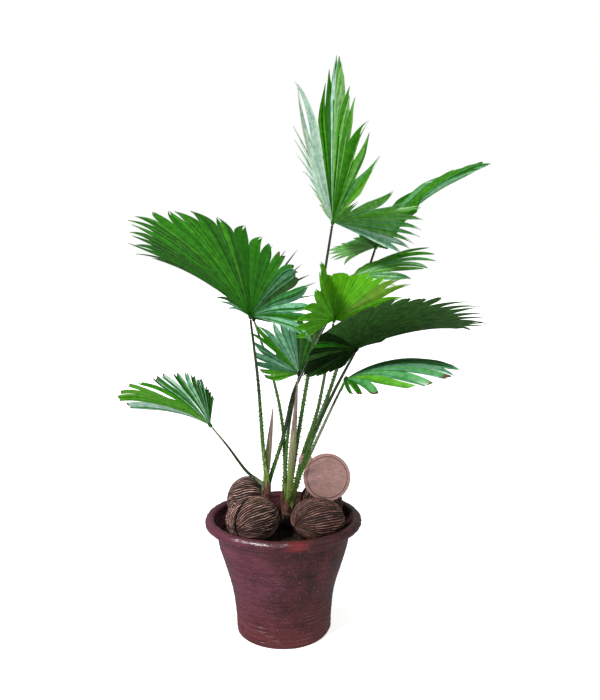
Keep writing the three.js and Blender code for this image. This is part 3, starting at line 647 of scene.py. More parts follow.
def curve_through(points, steps):
    """A smooth curve through the points, cut into even steps."""
    points = np.array(points, float)
    ends = [2 * points[0] - points[1], *points, 2 * points[-1] - points[-2]]
    t = np.linspace(0, 1, CURVE_FINENESS, endpoint=False)[:, None]
    dense = []
    for p0, p1, p2, p3 in zip(ends, ends[1:], ends[2:], ends[3:]):
        d0, d1, d2 = (np.linalg.norm(b - a) ** 0.5 for a, b in ((p0, p1), (p1, p2), (p2, p3)))
        leave = ((p1 - p0) / d0 - (p2 - p0) / (d0 + d1) + (p2 - p1) / d1) * d1
        arrive = ((p2 - p1) / d1 - (p3 - p1) / (d1 + d2) + (p3 - p2) / d2) * d1
        dense.append(p1 + leave * t + (3 * (p2 - p1) - 2 * leave - arrive) * t ** 2
                     + (2 * (p1 - p2) + leave + arrive) * t ** 3)
    dense = np.vstack([*dense, points[-1]])
    reach = distance_along(dense)
    return points_along(dense, reach, np.linspace(0, reach[-1], steps + 1))


def path_frames(path, side):
    """Unit directions along a path, across it (nearest to side) and out of its upper face."""
    along = unit(np.gradient(path, axis=0))
    across = unit(side - along * (along @ side)[:, None])
    return along, across, np.cross(along, across)


def rings_along(line, across, face, wide, thick, turn):
    """Rings of points about a line: wide towards across and thick towards face, at angles in turn."""
    across, face = np.reshape(across, (-1, 1, 3)), np.reshape(face, (-1, 1, 3))
    return (line[:, None, :] + across * (wide * np.cos(turn))[..., None]
            + face * (thick * np.sin(turn))[..., None])


# ------------------------------------------------------------------ fronds

class Blade:
    """A frond's smooth unpleated surface: across runs 0 to 1 from edge to edge, out from hub to tips."""

    LINES = 240
    BENDS = 48
    LEAST_TURN = 0.02  # spokes count as at least this far apart, in radians
    DROOP_LENGTH = 250  # a frond's droop is stated for a spoke of this length
    PLANT_MIDDLE = np.array([0, 10, 0])
    UPPER_SIDE_INWARD = 0.6  # upper faces look up, and towards the plant's middle by this much

    def __init__(self, facts):
        heading, climb, length = np.array(facts["spokes"], float).T
        aims = compass(heading, climb)
        turns = np.arccos(np.clip((aims[1:] * aims[:-1]).sum(axis=1), -1, 1))
        knots = np.concatenate([[0], np.cumsum(np.maximum(turns, self.LEAST_TURN))])
        knots /= knots[-1]
        across = np.linspace(0, 1, self.LINES + 1)
        aim = unit(np.column_stack([smooth(knots, aims[:, k], across) for k in range(3)]))
        reach = smooth(knots, length, across)
        share = (np.arange(self.BENDS) + 0.5) / self.BENDS
        sag = facts["droop"] * (reach / self.DROOP_LENGTH)[:, None] * share[None, :]
        headings = unit(aim[:, None, :] - UP * sag[:, :, None])
        walk = np.cumsum(headings * (reach / self.BENDS)[:, None, None], axis=1)
        start = np.zeros((self.LINES + 1, 1, 3))
        points = np.array(facts["hub"], float) + np.concatenate([start, walk], axis=1)
        side = np.gradient(points, 1 / self.LINES, axis=0)
        side[:, 0] = side[:, 1] * 1e-3  # all lines start in the hub, where they have no width
        normal = unit(np.cross(side, np.gradient(points, axis=1)))
        inward = unit((self.PLANT_MIDDLE - points) * [1, 1, 0])
        if (normal * (UP + self.UPPER_SIDE_INWARD * inward)).sum() < 0:
            normal = -normal
        stretch = np.linalg.norm(side, axis=-1, keepdims=True)
        self.field = np.concatenate([points, normal, unit(side), stretch], axis=-1)
        self.mean_length = length.mean()
        self.length_at = lambda at: np.interp(at, across, reach)

    def read(self, across, out):
        """Points, upper normals, side directions and mm per unit of across."""
        a = np.clip(across, 0, 1) * self.LINES
        s = np.clip(out, 0, 1) * self.BENDS
        i = np.minimum(a.astype(int), self.LINES - 1)
        j = np.minimum(s.astype(int), self.BENDS - 1)
        fa, fs = (a - i)[..., None], (s - j)[..., None]
        f = self.field
        mixed = ((f[i, j] * (1 - fa) + f[i + 1, j] * fa) * (1 - fs)
                 + (f[i, j + 1] * (1 - fa) + f[i + 1, j + 1] * fa) * fs)
        return mixed[..., :3], unit(mixed[..., 3:6]), unit(mixed[..., 6:9]), mixed[..., 9]


LEAF_ROOT = 3  # leaflets start this far from the hub's centre
JOINED_ROWS = 12
FREE_ROWS = 13
LEAST_FREE = 0.03  # the free end that every leaflet has at least, as a share of its spoke
HALF_COLUMNS = np.array([0, 0.25, 0.55, 0.87, 1.0])
COLUMN_RELIEF = np.array([0, 1, 0, 1, 0]) * 0.16  # fine ribs between midrib and margin
FULL_RELIEF = 4  # half width from which those ribs have their full height
SKIN = 0.25  # half the leaf's thickness
HUB_FOLD = 1.1  # how much deeper leaflets fold at the hub
TIP_FOLD = 0.8  # and at their tips
PARTED = 0.75  # how far a leaflet's two halves part at its tip
SWAY = 1.1  # half widths that a tip strays to either side, at most
LIFTED = 0.3  # share of a leaflet's sag by which it may rise instead
CURL = 0.07  # how far a tip bends up or down, at most, as a share of its free length
RIB_WIDTHS = (0.5, 0.1)  # half width of a midrib at its root and its end
RIB_END = 0.6  # the part of a leaflet's free length that its midrib runs along, at most
# The third finish is the painted shade in the folds between leaflets.
RIB_FINISH, DRY_FINISH, FOLD_SHADE_FINISH, FIRST_TONE = range(4)
STREAKED = 0.35  # share of a leaflet's strips that take another of its finishes
FOLD_SHADE_SHARE = 0.45  # share of the folds between leaflets that take painted shade
FOLD_SHADE_LENGTHS = (0.3, 1.1)  # how much of the joined part that painted shade covers, from the hub
STUB = 0.58  # what is left of a torn leaflet, as a share of its spoke
# How widths, the places where leaflets come free and stubs vary.
WIDTH_SPREAD, FREE_SPREAD, STUB_SPREAD = (0.85, 1.15), (0.95, 1.05), (0.9, 1.15)

# How a leaflet ends: [its width at the tip, how late it narrows, where its midrib parts, where it
# turns brown, how far it sags, how much of its length it may lack]. Widths are shares of its width
# where it comes free, the rest shares of its free length, and the last of its whole length.
TIPS = {
    "cut": [0.7, 3.0, (0.86, 0.98), (0.78, 0.95), 0.04, 0.08],
    "lance": [0.03, 1.8, (0.6, 0.9), (0.9, 1.3), 0.06, 0.04],
    "strap": [0.05, 1.0, (0.4, 0.8), (0.85, 1.3), 0.1, 0.08],
    "spike": [0.04, 0.8, (0.8, 0.95), (0.8, 1.3), 0.05, 0.1],
    "round": [0.12, 3.6, (0.9, 0.99), (1.0, 1.3), 0.08, 0.06],
    "torn": [0.2, 1.0, (0.2, 0.8), (0.7, 1.2), 0.22, 0.3],
}


def leaflet(body, blade, edges, shape, finishes, draw):
    """One pleated leaflet as two closed halves that meet at its midrib, and the rib itself."""
    left, right = edges
    middle = (left + right) / 2
    half = (right - left) / 2
    tip_width, lateness, split, dry, sag, short = TIPS[shape["tip"]]
    reach = shape["reach"] * (1 - draw.uniform(0, short))
    comes_free = min(shape["reach"] * shape["fused"] * draw.uniform(*FREE_SPREAD), reach - LEAST_FREE)
    joined = np.linspace(LEAF_ROOT / blade.mean_length, comes_free, JOINED_ROWS)
    free = np.linspace(comes_free, reach, FREE_ROWS + 1)[1:]
    out = np.concatenate([joined, free])
    t = np.clip((out - comes_free) / (reach - comes_free), 0, 1)
    free_length = (reach - comes_free) * blade.length_at(middle)
    width = np.where(t > 0, comes_free / out * (1 - (1 - tip_width) * t ** lateness), 1)
    fold = shape["pleat"] * (1 + HUB_FOLD * (1 - np.minimum(out / comes_free, 1)) ** 2 + TIP_FOLD * t)
    splits_at = draw.uniform(*split)
    parting = PARTED * np.clip((t - splits_at) / (1 - splits_at), 0, 1)
    sway = draw.uniform(-SWAY, SWAY) * half * t ** 2
    hang = draw.uniform(-LIFTED, 1) * sag * free_length * t ** 2
    curl = (shape["flare"] + draw.uniform(-CURL, CURL)) * free_length * t ** 2
    dry_from = draw.uniform(*dry)

    def place(share, side, lift):
        """Points and directions at share of the half width on one side, lifted off the blade."""
        across = middle + sway[:, None] + side * half * width[:, None] * share
        rows = np.broadcast_to(out[:, None], across.shape)
        at, normal, aside, stretch = blade.read(across, rows)
        wide = stretch * half * width[:, None]
        rise = wide * fold[:, None] * (share - 0.5) + lift * np.minimum(1, wide / FULL_RELIEF)
        at = at + normal * (rise + curl[:, None])[..., None] - UP * hang[:, None, None]
        return at, normal, aside

    main = [draw.choice(names) for names in finishes]
    for side in (-1, 1):
        share = parting[:, None] + (1 - parting[:, None]) * HALF_COLUMNS[None, :]
        at, normal, _ = place(share, side, COLUMN_RELIEF[None, :])
        ring = np.concatenate([at + normal * SKIN, (at - normal * SKIN)[:, ::-1]], axis=1)
        faces = tube_faces(*ring.shape[:2])
        if np.dot(np.cross(at[1, 1] - at[1, 0], at[2, 0] - at[1, 0]), normal[1, 0]) > 0:
            faces = [face[::-1] for face in faces]
        body.add(ring, faces, half_finishes(t, finishes, main, shape, dry_from, draw))
    rib_rows = int(np.searchsorted(t, min(splits_at, RIB_END)))
    midrib(body, *(part[:rib_rows, 0] for part in place(np.zeros((len(out), 1)), 1, 0)))


def half_finishes(t, finishes, main, shape, dry_from, draw):
    """The finish of every face of half a leaflet: some strips in another tone, the fold beside its
    neighbour in painted shade for part of the way, and the end dry."""
    columns = len(HALF_COLUMNS)
    strips = []
    for names, usual, count in zip(finishes, main, (columns - 1, columns + 1)):
        strips += [draw.choice(names) if draw.random() < shape["streaked"] else usual
                   for _ in range(count)]
    fold_shaded = list(strips)
    fold_shaded[columns - 2:columns + 1] = [FOLD_SHADE_FINISH] * 3
    fold_shaded_rows = draw.uniform(*FOLD_SHADE_LENGTHS) * JOINED_ROWS if draw.random() < shape["fold_shaded"] else 0
    finish = []
    for r in range(len(t) - 1):
        row = fold_shaded if r < min(fold_shaded_rows, JOINED_ROWS - 1) else strips
        finish += [DRY_FINISH] * len(row) if t[r] > dry_from else row
    return finish + [main[1], DRY_FINISH if dry_from < 1 else main[0]]


def midrib(body, at, normal, aside):
    """A leaflet's slim rib, which stands out of its underside."""
    slim = np.linspace(*RIB_WIDTHS, len(at))[:, None]
    ring = np.stack([at - aside * slim, at + normal * (SKIN + 0.2 * slim), at + aside * slim,
                     at - normal * (SKIN + 1.2 * slim)], axis=1)
    body.add_tube(ring, RIB_FINISH)


KNUCKLE_RADIUS = 3.4
KNUCKLE_RINGS = 9
KNUCKLE_SIDES = 12
KNUCKLE_CLIMB = 88  # degrees from its middle ring to its last, which a small flat face closes


def knuckle(body, hub, towards):
    """The swelling where the stalk runs into its leaflets."""
    axis = unit(towards)
    aside = unit(np.cross(axis, [0.3, 0.5, 0.8]))
    level = np.radians(np.linspace(-KNUCKLE_CLIMB, KNUCKLE_CLIMB, KNUCKLE_RINGS))[:, None]
    rings = rings_along(hub + axis * HUB_RADIUS * np.sin(level), aside, np.cross(axis, aside),
                        KNUCKLE_RADIUS * np.cos(level), KNUCKLE_RADIUS * np.cos(level),
                        full_turn(KNUCKLE_SIDES))
    # It takes the dark green of the painted shade in the folds.
    body.add_tube(rings, FOLD_SHADE_FINISH)


def zone(rows, place):
    """The first row of [place, ...] that reaches as far as place, without its place."""
    return next(row[1:] for row in rows if place <= row[0])


def spread(values, place):
    """The value at a place from edge to edge, where values are given evenly along the way."""
    return np.interp(place, np.linspace(0, 1, len(values)), values)


def frond(name):
    """A whole blade of pleated leaflets, joined near the hub and free towards their tips."""
    facts = FRONDS[name]
    draw = random.Random(name)
    blade = Blade(facts)
    count = facts["leaflets"]
    widths = [spread(facts.get("widths", [1]), (k + 0.5) / count) * draw.uniform(*WIDTH_SPREAD)
              for k in range(count)]
    edges = np.concatenate([[0], np.cumsum(widths)]) / sum(widths)
    tones = sorted({tone for _, *names in facts["tones"] for tone in " ".join(names).split()})
    body = Body()
    for k in range(count):
        place = (edges[k] + edges[k + 1]) / 2
        shape = {"fused": spread(facts["fused"], place), "pleat": spread(facts["pleat"], place),
                 "reach": spread(facts.get("reach", [1]), place), "tip": zone(facts["tips"], place)[0],
                 "flare": spread(facts.get("flare", [0]), place),
                 "streaked": facts.get("streaked", STREAKED), "fold_shaded": facts.get("fold_shaded", FOLD_SHADE_SHARE)}
        if any(start < place < end for start, end in facts.get("torn", [])):
            shape.update(reach=STUB * draw.uniform(*STUB_SPREAD), tip="torn")
        finishes = [[FIRST_TONE + tones.index(tone) for tone in names.split()]
                    for names in zone(facts["tones"], place)]
        leaflet(body, blade, edges[k:k + 2], shape, finishes, draw)
    hub = np.array(facts["hub"], float)
    knuckle(body, hub, np.array(STALKS[name]["via"][-1]) - hub)
    # The third material is the painted shade in the folds between leaflets.
    materials = [LEAF[facts["rib"]], DRY_TIP, LEAF[facts["crease"]]] + [LEAF[tone] for tone in tones]
    body.make(f"leaflets_{name}", [f"frond_{name}"], materials, 22)


# ------------------------------------------------------------------ stalks, stems and spears

def ring_place(stem_facts, place):
    """Where a stalk stands on its stem's top; no place means the middle."""
    start = np.array(stem_facts["top"], float) + UP * GAP
    if place is not None:
        start += stem_facts["ring"] * compass(place)
    return start


STALK_STEPS = 60
STALK_RISE = 6
STALK_SIDES = 12
STALK_FLATNESS = 1.5  # how much wider a stalk is than its solid, which is round
STALK_ROUNDING = 0.45  # how much of that it has lost at its upper end
STALK_FLARE = 0.25  # how much wider still its foot is
FLARE_END = 0.05  # the share of its length by which most of that flare has gone
STALK_HEADINGS = (-35, 15)  # where one of its edges faces, in degrees
UPPER_DEPTH, LOWER_DEPTH = 0.5, 0.95  # how far its faces stand off the middle, as shares of its radius
EDGE_FROM = 0.12  # from here up a stalk's edges are darker
EDGE_SHARE = 0.75  # how much of the edges is darker there
TOOTH_SPACING = 8
FIRST_TOOTH = (28, 36)  # how far above the foot the lowest tooth is
TOOTH_SIZES = (2.9, 1.7)  # at the foot and at the hub
SIZE_SPREAD, SPACING_SPREAD = (0.7, 1.25), (0.6, 1.4)  # how teeth vary
TOOTH_HOOK = ((-0.3, 0), (0.45, 0.12), (0.8, 0.38), (1, 0.7))  # [out from its foot, back], in its size
TOOTH_WIDTH, TOOTH_THICKNESS = 0.42, 0.16  # half of each at its foot, as shares of its size
TOOTH_POINT = (0.05, 0.04)  # and at its point


def stalk_path(name):
    """The stalk's middle line from its stem to its hub."""
    facts = STALKS[name]
    hub = np.array(FRONDS[name]["hub"], float)
    last = np.array(facts["via"][-1], float)
    start = ring_place(facts["stem"], facts["place"])
    end = hub + unit(last - hub) * (HUB_RADIUS + GAP)
    return curve_through([start, start + UP * STALK_RISE, *facts["via"], end], STALK_STEPS)


def tooth(body, foot, along, outward, thick, size):
    """A flat hooked tooth that points out and back towards the stalk's foot."""
    rings = []
    for share, bend in TOOTH_HOOK:
        centre = foot + outward * size * share - along * size * bend
        left = 1 - max(share, 0)
        wide = size * TOOTH_WIDTH * left ** 0.8 + TOOTH_POINT[0]
        slim = size * TOOTH_THICKNESS * left + TOOTH_POINT[1]
        rings.append([centre + along * wide, centre + thick * slim, centre - along * wide,
                      centre - thick * slim])
    body.add_tube(np.array(rings), len(RIND))


def stalk_finishes(tones, t, draw):
    """Tones that change up a stalk with ragged borders, and darker lines along its two edges."""
    edges = (0, STALK_SIDES - 1, STALK_SIDES // 2, STALK_SIDES // 2 - 1)
    finish = []
    for height in t[:-1]:
        for c in range(STALK_SIDES):
            level = height * (len(tones) - 1) + draw.uniform(-0.25, 0.25)
            tone = tones[int(np.clip(round(level), 0, len(tones) - 1))]
            darker = c in edges and height > EDGE_FROM and draw.random() < EDGE_SHARE
            finish.append(DARK_RIND if darker else tone)
    return finish + [tones[0], tones[-1]]


def stalk(name):
    """A leaf stalk, rounded below and flatter above, with hooked teeth along both edges."""
    facts = STALKS[name]
    draw = random.Random(f"stalk {name}")
    path = stalk_path(name)
    along, across, face = path_frames(path, compass(draw.uniform(*STALK_HEADINGS)))
    t = np.linspace(0, 1, STALK_STEPS + 1)
    radius = facts["base"] + (facts["tip"] - facts["base"]) * t
    wide = radius * (STALK_FLATNESS - STALK_ROUNDING * t + STALK_FLARE * np.exp(-t / FLARE_END))
    turn = full_turn(STALK_SIDES)
    depth = np.where(np.sin(turn) > 0, UPPER_DEPTH, LOWER_DEPTH)
    ring = rings_along(path, across, face, wide[:, None], radius[:, None] * depth, turn)
    body = Body()
    body.add_tube(ring, stalk_finishes(facts["tones"], t, draw))
    length = np.linalg.norm(np.diff(path, axis=0), axis=1).sum()
    for edge in (-1, 1):
        at = draw.uniform(*FIRST_TOOTH)
        while at < facts["teeth"] * length:
            k = min(at / length * STALK_STEPS, STALK_STEPS - 1)
            i, part = int(k), k - int(k)
            size = np.interp(at / length, (0, 1), TOOTH_SIZES) * draw.uniform(*SIZE_SPREAD)
            foot = path[i] * (1 - part) + path[i + 1] * part + across[i] * edge * wide[i]
            tooth(body, foot, along[i], across[i] * edge, face[i], size)
            at += TOOTH_SPACING * draw.uniform(*SPACING_SPREAD)
    body.make(f"toothed_{name}", [f"stalk_{name}"], RIND + [TOOTH], 35)


SHADOWED_SHARE = 0.68  # how much of a stem's height, from its foot, is darker: painted shade low in the pot
STEM_ROWS = 70
STEM_COLUMNS = 72
SHEATHS_ROUND, SHEATHS_UP = 2, 4.5  # how many edges of old sheaths there are round a stem and up it
SHEATH_STEP = 1.8  # how far each old sheath stands out over the next one in
FIBRES_ROUND = 26
FIBRE_DEPTH = 0.5
FRAYED_FROM = 0.97  # from here up a stem's top is frayed
FRAYED_DEPTH = 0.6
LOOSE_FIBRES = 60
# The last finish is the painted shade on a stem's lower part.
DRY_SHEATH, LOOSE_FIBRE, GREEN_FOOT, SHADOWED_PART = range(4)

# The tallest torn sheaths: how far each stands up its stalk, and its heading about it.
FLAPS = {"big_left": [15, -80], "low_centre": [26, -125], "low_right": [12, -110]}


def stem(name, facts, seed):
    """A short stem wrapped in old leaf sheaths that have frayed to fibres."""
    draw = random.Random(f"sheath {seed}")
    foot, top = np.array(facts["foot"], float), np.array(facts["top"], float)
    t = np.linspace(0, 1, STEM_ROWS)[:, None]
    turn = full_turn(STEM_COLUMNS)[None, :]
    wrap = (turn / (2 * np.pi) * SHEATHS_ROUND + t * SHEATHS_UP + 0.1 * np.sin(3 * turn + 5 * t)) % 1
    fibres = (1 + np.sin(FIBRES_ROUND * turn + 9 * t + 2 * np.sin(4 * turn))) / 2
    radius = facts["foot_radius"] + (facts["top_radius"] - facts["foot_radius"]) * t
    radius = radius - SHEATH_STEP * wrap - SET_IN["stem"] - FIBRE_DEPTH * fibres
    outward = np.stack([np.cos(turn), np.sin(turn), 0 * turn], -1)
    middle = foot + (top - foot) * t[..., None]
    points = middle + outward * radius[..., None]
    points[..., 2] += FRAYED_DEPTH * (np.sin(7 * turn) - 1) * (t > FRAYED_FROM)
    body = Body()
    # Its lower part takes the painted shade.
    body.add_tube(points, lambda r: SHADOWED_PART if r < STEM_ROWS * SHADOWED_SHARE else DRY_SHEATH,
                  [SHADOWED_PART, DRY_SHEATH])
    for _ in range(LOOSE_FIBRES):
        loose_fibre(body, foot, top, facts["top_radius"], draw)
    for stalk_name, stalk_facts in STALKS.items():
        if stalk_facts["stem"] is facts:
            if stalk_name in FLAPS:
                flap(body, stalk_name, *FLAPS[stalk_name])
            heel(body, stalk_facts, facts, draw)
    body.make(f"sheathed_{name}", [name], [SHEATH, STRAND, RIND[0], SHADOWED_SHEATH], 40)


def loose_fibre(body, foot, top, radius, draw):
    """A fibre that has come loose from the sheaths and winds a little up the stem."""
    steps, shortest = 9, 0.15
    heading = draw.uniform(0, 360)
    low, high = sorted((draw.uniform(0.1, 1), draw.uniform(0.1, 1)))
    twist = draw.uniform(-30, 30)
    share = np.minimum(np.linspace(low, max(high, low + shortest), steps), 1)
    lift = radius + 0.1 + 0.7 * np.sin(np.linspace(0, 3.1, steps)) * draw.uniform(0.2, 1)
    line = foot + (top - foot) * share[:, None] + compass(heading + twist * (share - low)) * lift[:, None]
    _, across, face = path_frames(line, np.array([0.31, 0.87, 0.4]))
    thin = draw.uniform(0.16, 0.32)
    # Fibres that start low take the painted shade as well.
    body.add_tube(rings_along(line, across, face, thin, thin, full_turn(3)),
                  LOOSE_FIBRE if low > SHADOWED_SHARE - 0.2 else SHADOWED_PART)


HEEL_LENGTHS = (8, 16)
HEEL_LAP = 1.5  # how far it laps up the stalk
HEEL_DEPTH = 1.7
HEEL_SINK = 0.8  # how far it lies under the stem's surface, and as much again at its end


def heel(body, facts, stem_facts, draw):
    """The clasping foot of a stalk: it runs down the stem and narrows into the old sheaths."""
    rows, columns = 10, 12
    length = draw.uniform(*HEEL_LENGTHS)
    share = np.linspace(0, 1, rows)[:, None]
    outward = compass(facts["place"])
    bulge = stem_facts["top_radius"] - stem_facts["ring"] - HEEL_SINK
    line = (ring_place(stem_facts, facts["place"]) + UP * HEEL_LAP * (1 - share) - UP * length * share
            + outward * (bulge * np.minimum(share * 4, 1) - HEEL_SINK * share ** 2))
    wide = facts["base"] * STALK_FLATNESS * (1 - share) + 0.3
    thick = HEEL_DEPTH * (1 - share) + 0.2
    ring = rings_along(line, np.cross(UP, outward), outward, wide, thick, full_turn(columns))
    body.add_tube(ring, lambda r: GREEN_FOOT if draw.uniform(0, 0.5) > r / rows else DRY_SHEATH,
                  [GREEN_FOOT, DRY_SHEATH])


FLAP_ROOT = 8  # how far below its stalk's foot a torn sheath starts
FLAP_CLASP = 1.2  # how far it reaches round the stalk to either side at its root, in radians
FLAP_OFF, FLAP_FLARE, FLAP_WAVE = 0.7, 0.5, 0.25  # how far it stands off, opens upwards and waves
FLAP_SKIN = 0.5


def flap(body, name, length, heading):
    """A torn end of old sheath that still clasps the foot of a stalk."""
    rows, columns = 12, 9
    facts = STALKS[name]
    path = stalk_path(name)
    step = np.linalg.norm(path[1] - path[0])
    reach = np.linspace(-FLAP_ROOT, length, rows)
    line = points_along(path, np.arange(len(path)), reach / step)
    line[:, 2] += np.minimum(reach, 0)
    _, across, face = path_frames(line, compass(heading))
    t = np.linspace(0, 1, rows)
    half_turn = (FLAP_CLASP * (1 - t ** 1.2) + 0.08)[:, None] * np.linspace(-1, 1, columns)[None, :]
    radius = (facts["base"] * STALK_FLATNESS + FLAP_OFF + FLAP_FLARE * t[:, None]
              + FLAP_WAVE * np.sin(half_turn * 9 + length))
    outer, inner = (rings_along(line, across, face, radius - skin, radius - skin, half_turn)
                    for skin in (0, FLAP_SKIN))
    ring = np.concatenate([outer, inner[:, ::-1]], axis=1)
    body.add_tube(ring, DRY_SHEATH)


SPEAR_STEPS = 56
SPEAR_PLEATS = 9
PLEAT_DEPTH = 0.16
SPEAR_TIP_RADIUS = 0.4
SPEAR_WIDTH, SPEAR_THICKNESS = 1.35, 0.8  # shares of its radius, as it is pressed flat
SPEAR_FULLNESS = 0.8  # under 1, it is fullest below its middle
PLEAT_ONSET = 6  # how fast its pleats deepen from the foot, in full depths per length
PLEAT_PHASE = 0.4  # of the wave that makes its pleats, in radians
SPEAR_PACE = 3.6  # its tones follow each other this fast from foot to tip, and the last one stays


def spear(name):
    """An unopened leaf: its pleats still pressed together into a lance."""
    facts = SPEARS[name]
    start = ring_place(facts["stem"], facts["place"])
    tip = np.array(facts["tip"], float)
    columns = SPEAR_PLEATS * 4
    path = curve_through([start, (start + tip) / 2, tip], SPEAR_STEPS)
    t = np.linspace(0, 1, SPEAR_STEPS + 1)
    foot, swell = facts["foot"], facts["radius"] - facts["foot"] / 2
    radius = (SPEAR_TIP_RADIUS + (foot - SPEAR_TIP_RADIUS) * (1 - t)
              + swell * np.sin(np.pi * t ** SPEAR_FULLNESS))
    _, across, face = path_frames(path, np.array([1.0, 0.2, 0]))
    turn = full_turn(columns)
    furrow = 1 - np.abs(np.cos(turn * SPEAR_PLEATS / 2 + PLEAT_PHASE))[None, :]
    reach = radius[:, None] * (1 - PLEAT_DEPTH * furrow * np.minimum(1, t[:, None] * PLEAT_ONSET))
    ring = rings_along(path, across, face, reach * SPEAR_WIDTH, reach * SPEAR_THICKNESS, turn)
    draw = random.Random(name)
    last = len(FOLDED) - 1
    body = Body()
    body.add_tube(ring, lambda r: int(np.clip(t[r] * SPEAR_PACE + draw.uniform(-0.3, 0.3), 0, last)),
                  [0, last])
    body.make(f"folded_{name}", [name], FOLDED, 40)


# ------------------------------------------------------------------ pot, soil, fruits and tag

def arc(centre_r, centre_z, radius, start, end, steps):
    """Points [radius, height] on an arc between two angles in degrees."""
    turn = np.radians(np.linspace(start, end, steps + 1))
    return np.column_stack([centre_r + radius * np.cos(turn), centre_z + radius * np.sin(turn)])


def even_steps(profile, spacing):
    """The same outline with a point about every spacing millimetres."""
    profile = np.array(profile, float)
    reach = distance_along(profile)
    return points_along(profile, reach, np.linspace(0, reach[-1], int(reach[-1] / spacing) + 1))


def turned(profile, columns):
    """Rings of points round the Z axis for an outline of [radius, height] points."""
    turn = full_turn(columns)
    radius, height = profile[:, 0][:, None], profile[:, 1][:, None]
    return np.stack([radius * np.cos(turn), radius * np.sin(turn), height + 0 * turn], -1)


POT_COLUMNS = 220
POT_RECESS = 0.6  # how high the underside is within its foot
POT_HOLLOW = 5  # how much thinner the wall is just under the lip
RIDGE_SPACING = 6.5  # between the rings that the maker's fingers left
RIDGE_HEIGHT, FOOT_RIDGE_HEIGHT = 0.2, 0.42  # all over, and what is added about 30 mm up
RIDGES_END = 180
GLAZED_INSIDE = 9  # rows of the inner lip that are dull glaze too
GLAZED, BARE_CLAY, DULL = range(3)


def wheel_marks(rings):
    """What throwing left on the outside, in mm: rings that are strongest low on the wall, and the
    hand's unevenness. The first is given apart, as the glaze thins over it."""
    z = rings[..., 2]
    turn = np.arctan2(rings[..., 1], rings[..., 0])
    strong = RIDGE_HEIGHT + FOOT_RIDGE_HEIGHT * np.exp(-((z - 30) / 40) ** 2)
    phase = (z + 1.5 * np.sin(turn + 0.6) + 1.2 * ripple(rings, 60, 5)) / RIDGE_SPACING
    ridges = (1 - 2 * np.abs(np.sin(np.pi * phase)) ** 0.7) * strong
    uneven = 0.2 * ripple(rings * [0.15, 0.15, 1], 3.0, 3) + 0.3 * ripple(rings, 40, 4)
    pitted = 0.45 * ripple(rings, 6, 6) * np.clip((z - 170) / 12, 0.15, 1)
    return ridges, ridges + uneven + pitted


def pot():
    """The thrown pot: rolled lip, wheel rings in the wall and a bare clay underside."""
    lip = arc(POT_RIM_RADIUS - POT_LIP_RADIUS, POT_HEIGHT - POT_LIP_RADIUS, POT_LIP_RADIUS, -75, 190, 26)
    body_line = np.array(POT_BODY, float)
    heights = np.linspace(body_line[0, 1], body_line[-1, 1], 60)
    wall = np.column_stack([smooth(body_line[:, 1], body_line[:, 0], heights), heights])
    inside = wall[wall[:, 1] > POT_FLOOR + 5] - [POT_WALL, 0]
    inside[:, 0] += POT_HOLLOW * np.clip((inside[:, 1] - SOIL_TOP) / 15, 0, 1) ** 1.5
    under = even_steps([[2, POT_RECESS], [POT_FOOT_RADIUS - 8, POT_RECESS], [POT_FOOT_RADIUS - 6, 0]], 8)
    shell = even_steps([[POT_FOOT_RADIUS, 0], [POT_FOOT_RADIUS + 2.4, 1.4], *wall, *lip], 1.1)
    hollow = even_steps([lip[-1], *inside[::-1], [POT_FOOT_RADIUS - 4, POT_FLOOR], [2, POT_FLOOR]], 3)[1:]
    profile = np.vstack([under, shell, hollow])
    rings = turned(profile, POT_COLUMNS)
    outward = rings * [1, 1, 0] / profile[:, 0][:, None, None]
    ridges, marks = wheel_marks(rings)
    row = np.arange(len(profile))[:, None]
    outside = (row > len(under)) & (row < len(under) + len(shell) - 1)
    relief = 0.5 + np.where(rings[..., 2] < RIDGES_END, ridges, 0)
    rings = rings + outward * np.where(outside, marks - SET_IN["pot"], 0)[..., None]
    dull_from = len(under) + len(shell) - GLAZED_INSIDE
    body = Body()
    body.add_tube(rings, lambda r: BARE_CLAY if r < len(under) else GLAZED if r < dull_from else DULL,
                  [BARE_CLAY, DULL])
    body.make("thrown_pot", ["pot"], [GLAZE, CLAY, DULL_GLAZE], 40, relief.ravel())


def inside_radius(height):
    """The pot's inner radius at a height."""
    line = np.array(POT_BODY, float)
    return np.interp(height, line[:, 1], line[:, 0]) - POT_WALL


SOIL_COLUMNS = 150
SOIL_RINGS = 56
SOIL_CROWN = 2  # how much higher the soil is in the middle
SOIL_LUMPS = [[1.5, 7, 21], [0.9, 2.6, 22]]  # [height, size, seed]
SMOOTH_EDGE = 3  # the lumps reach their full height this far from the wall
SOIL_SEED = 11
CRUMBS = 900
CRUMB_SIZES = (0.8, 2.4)
CRUMB_RISE = 1.2  # how far their middles are above the soil's edge


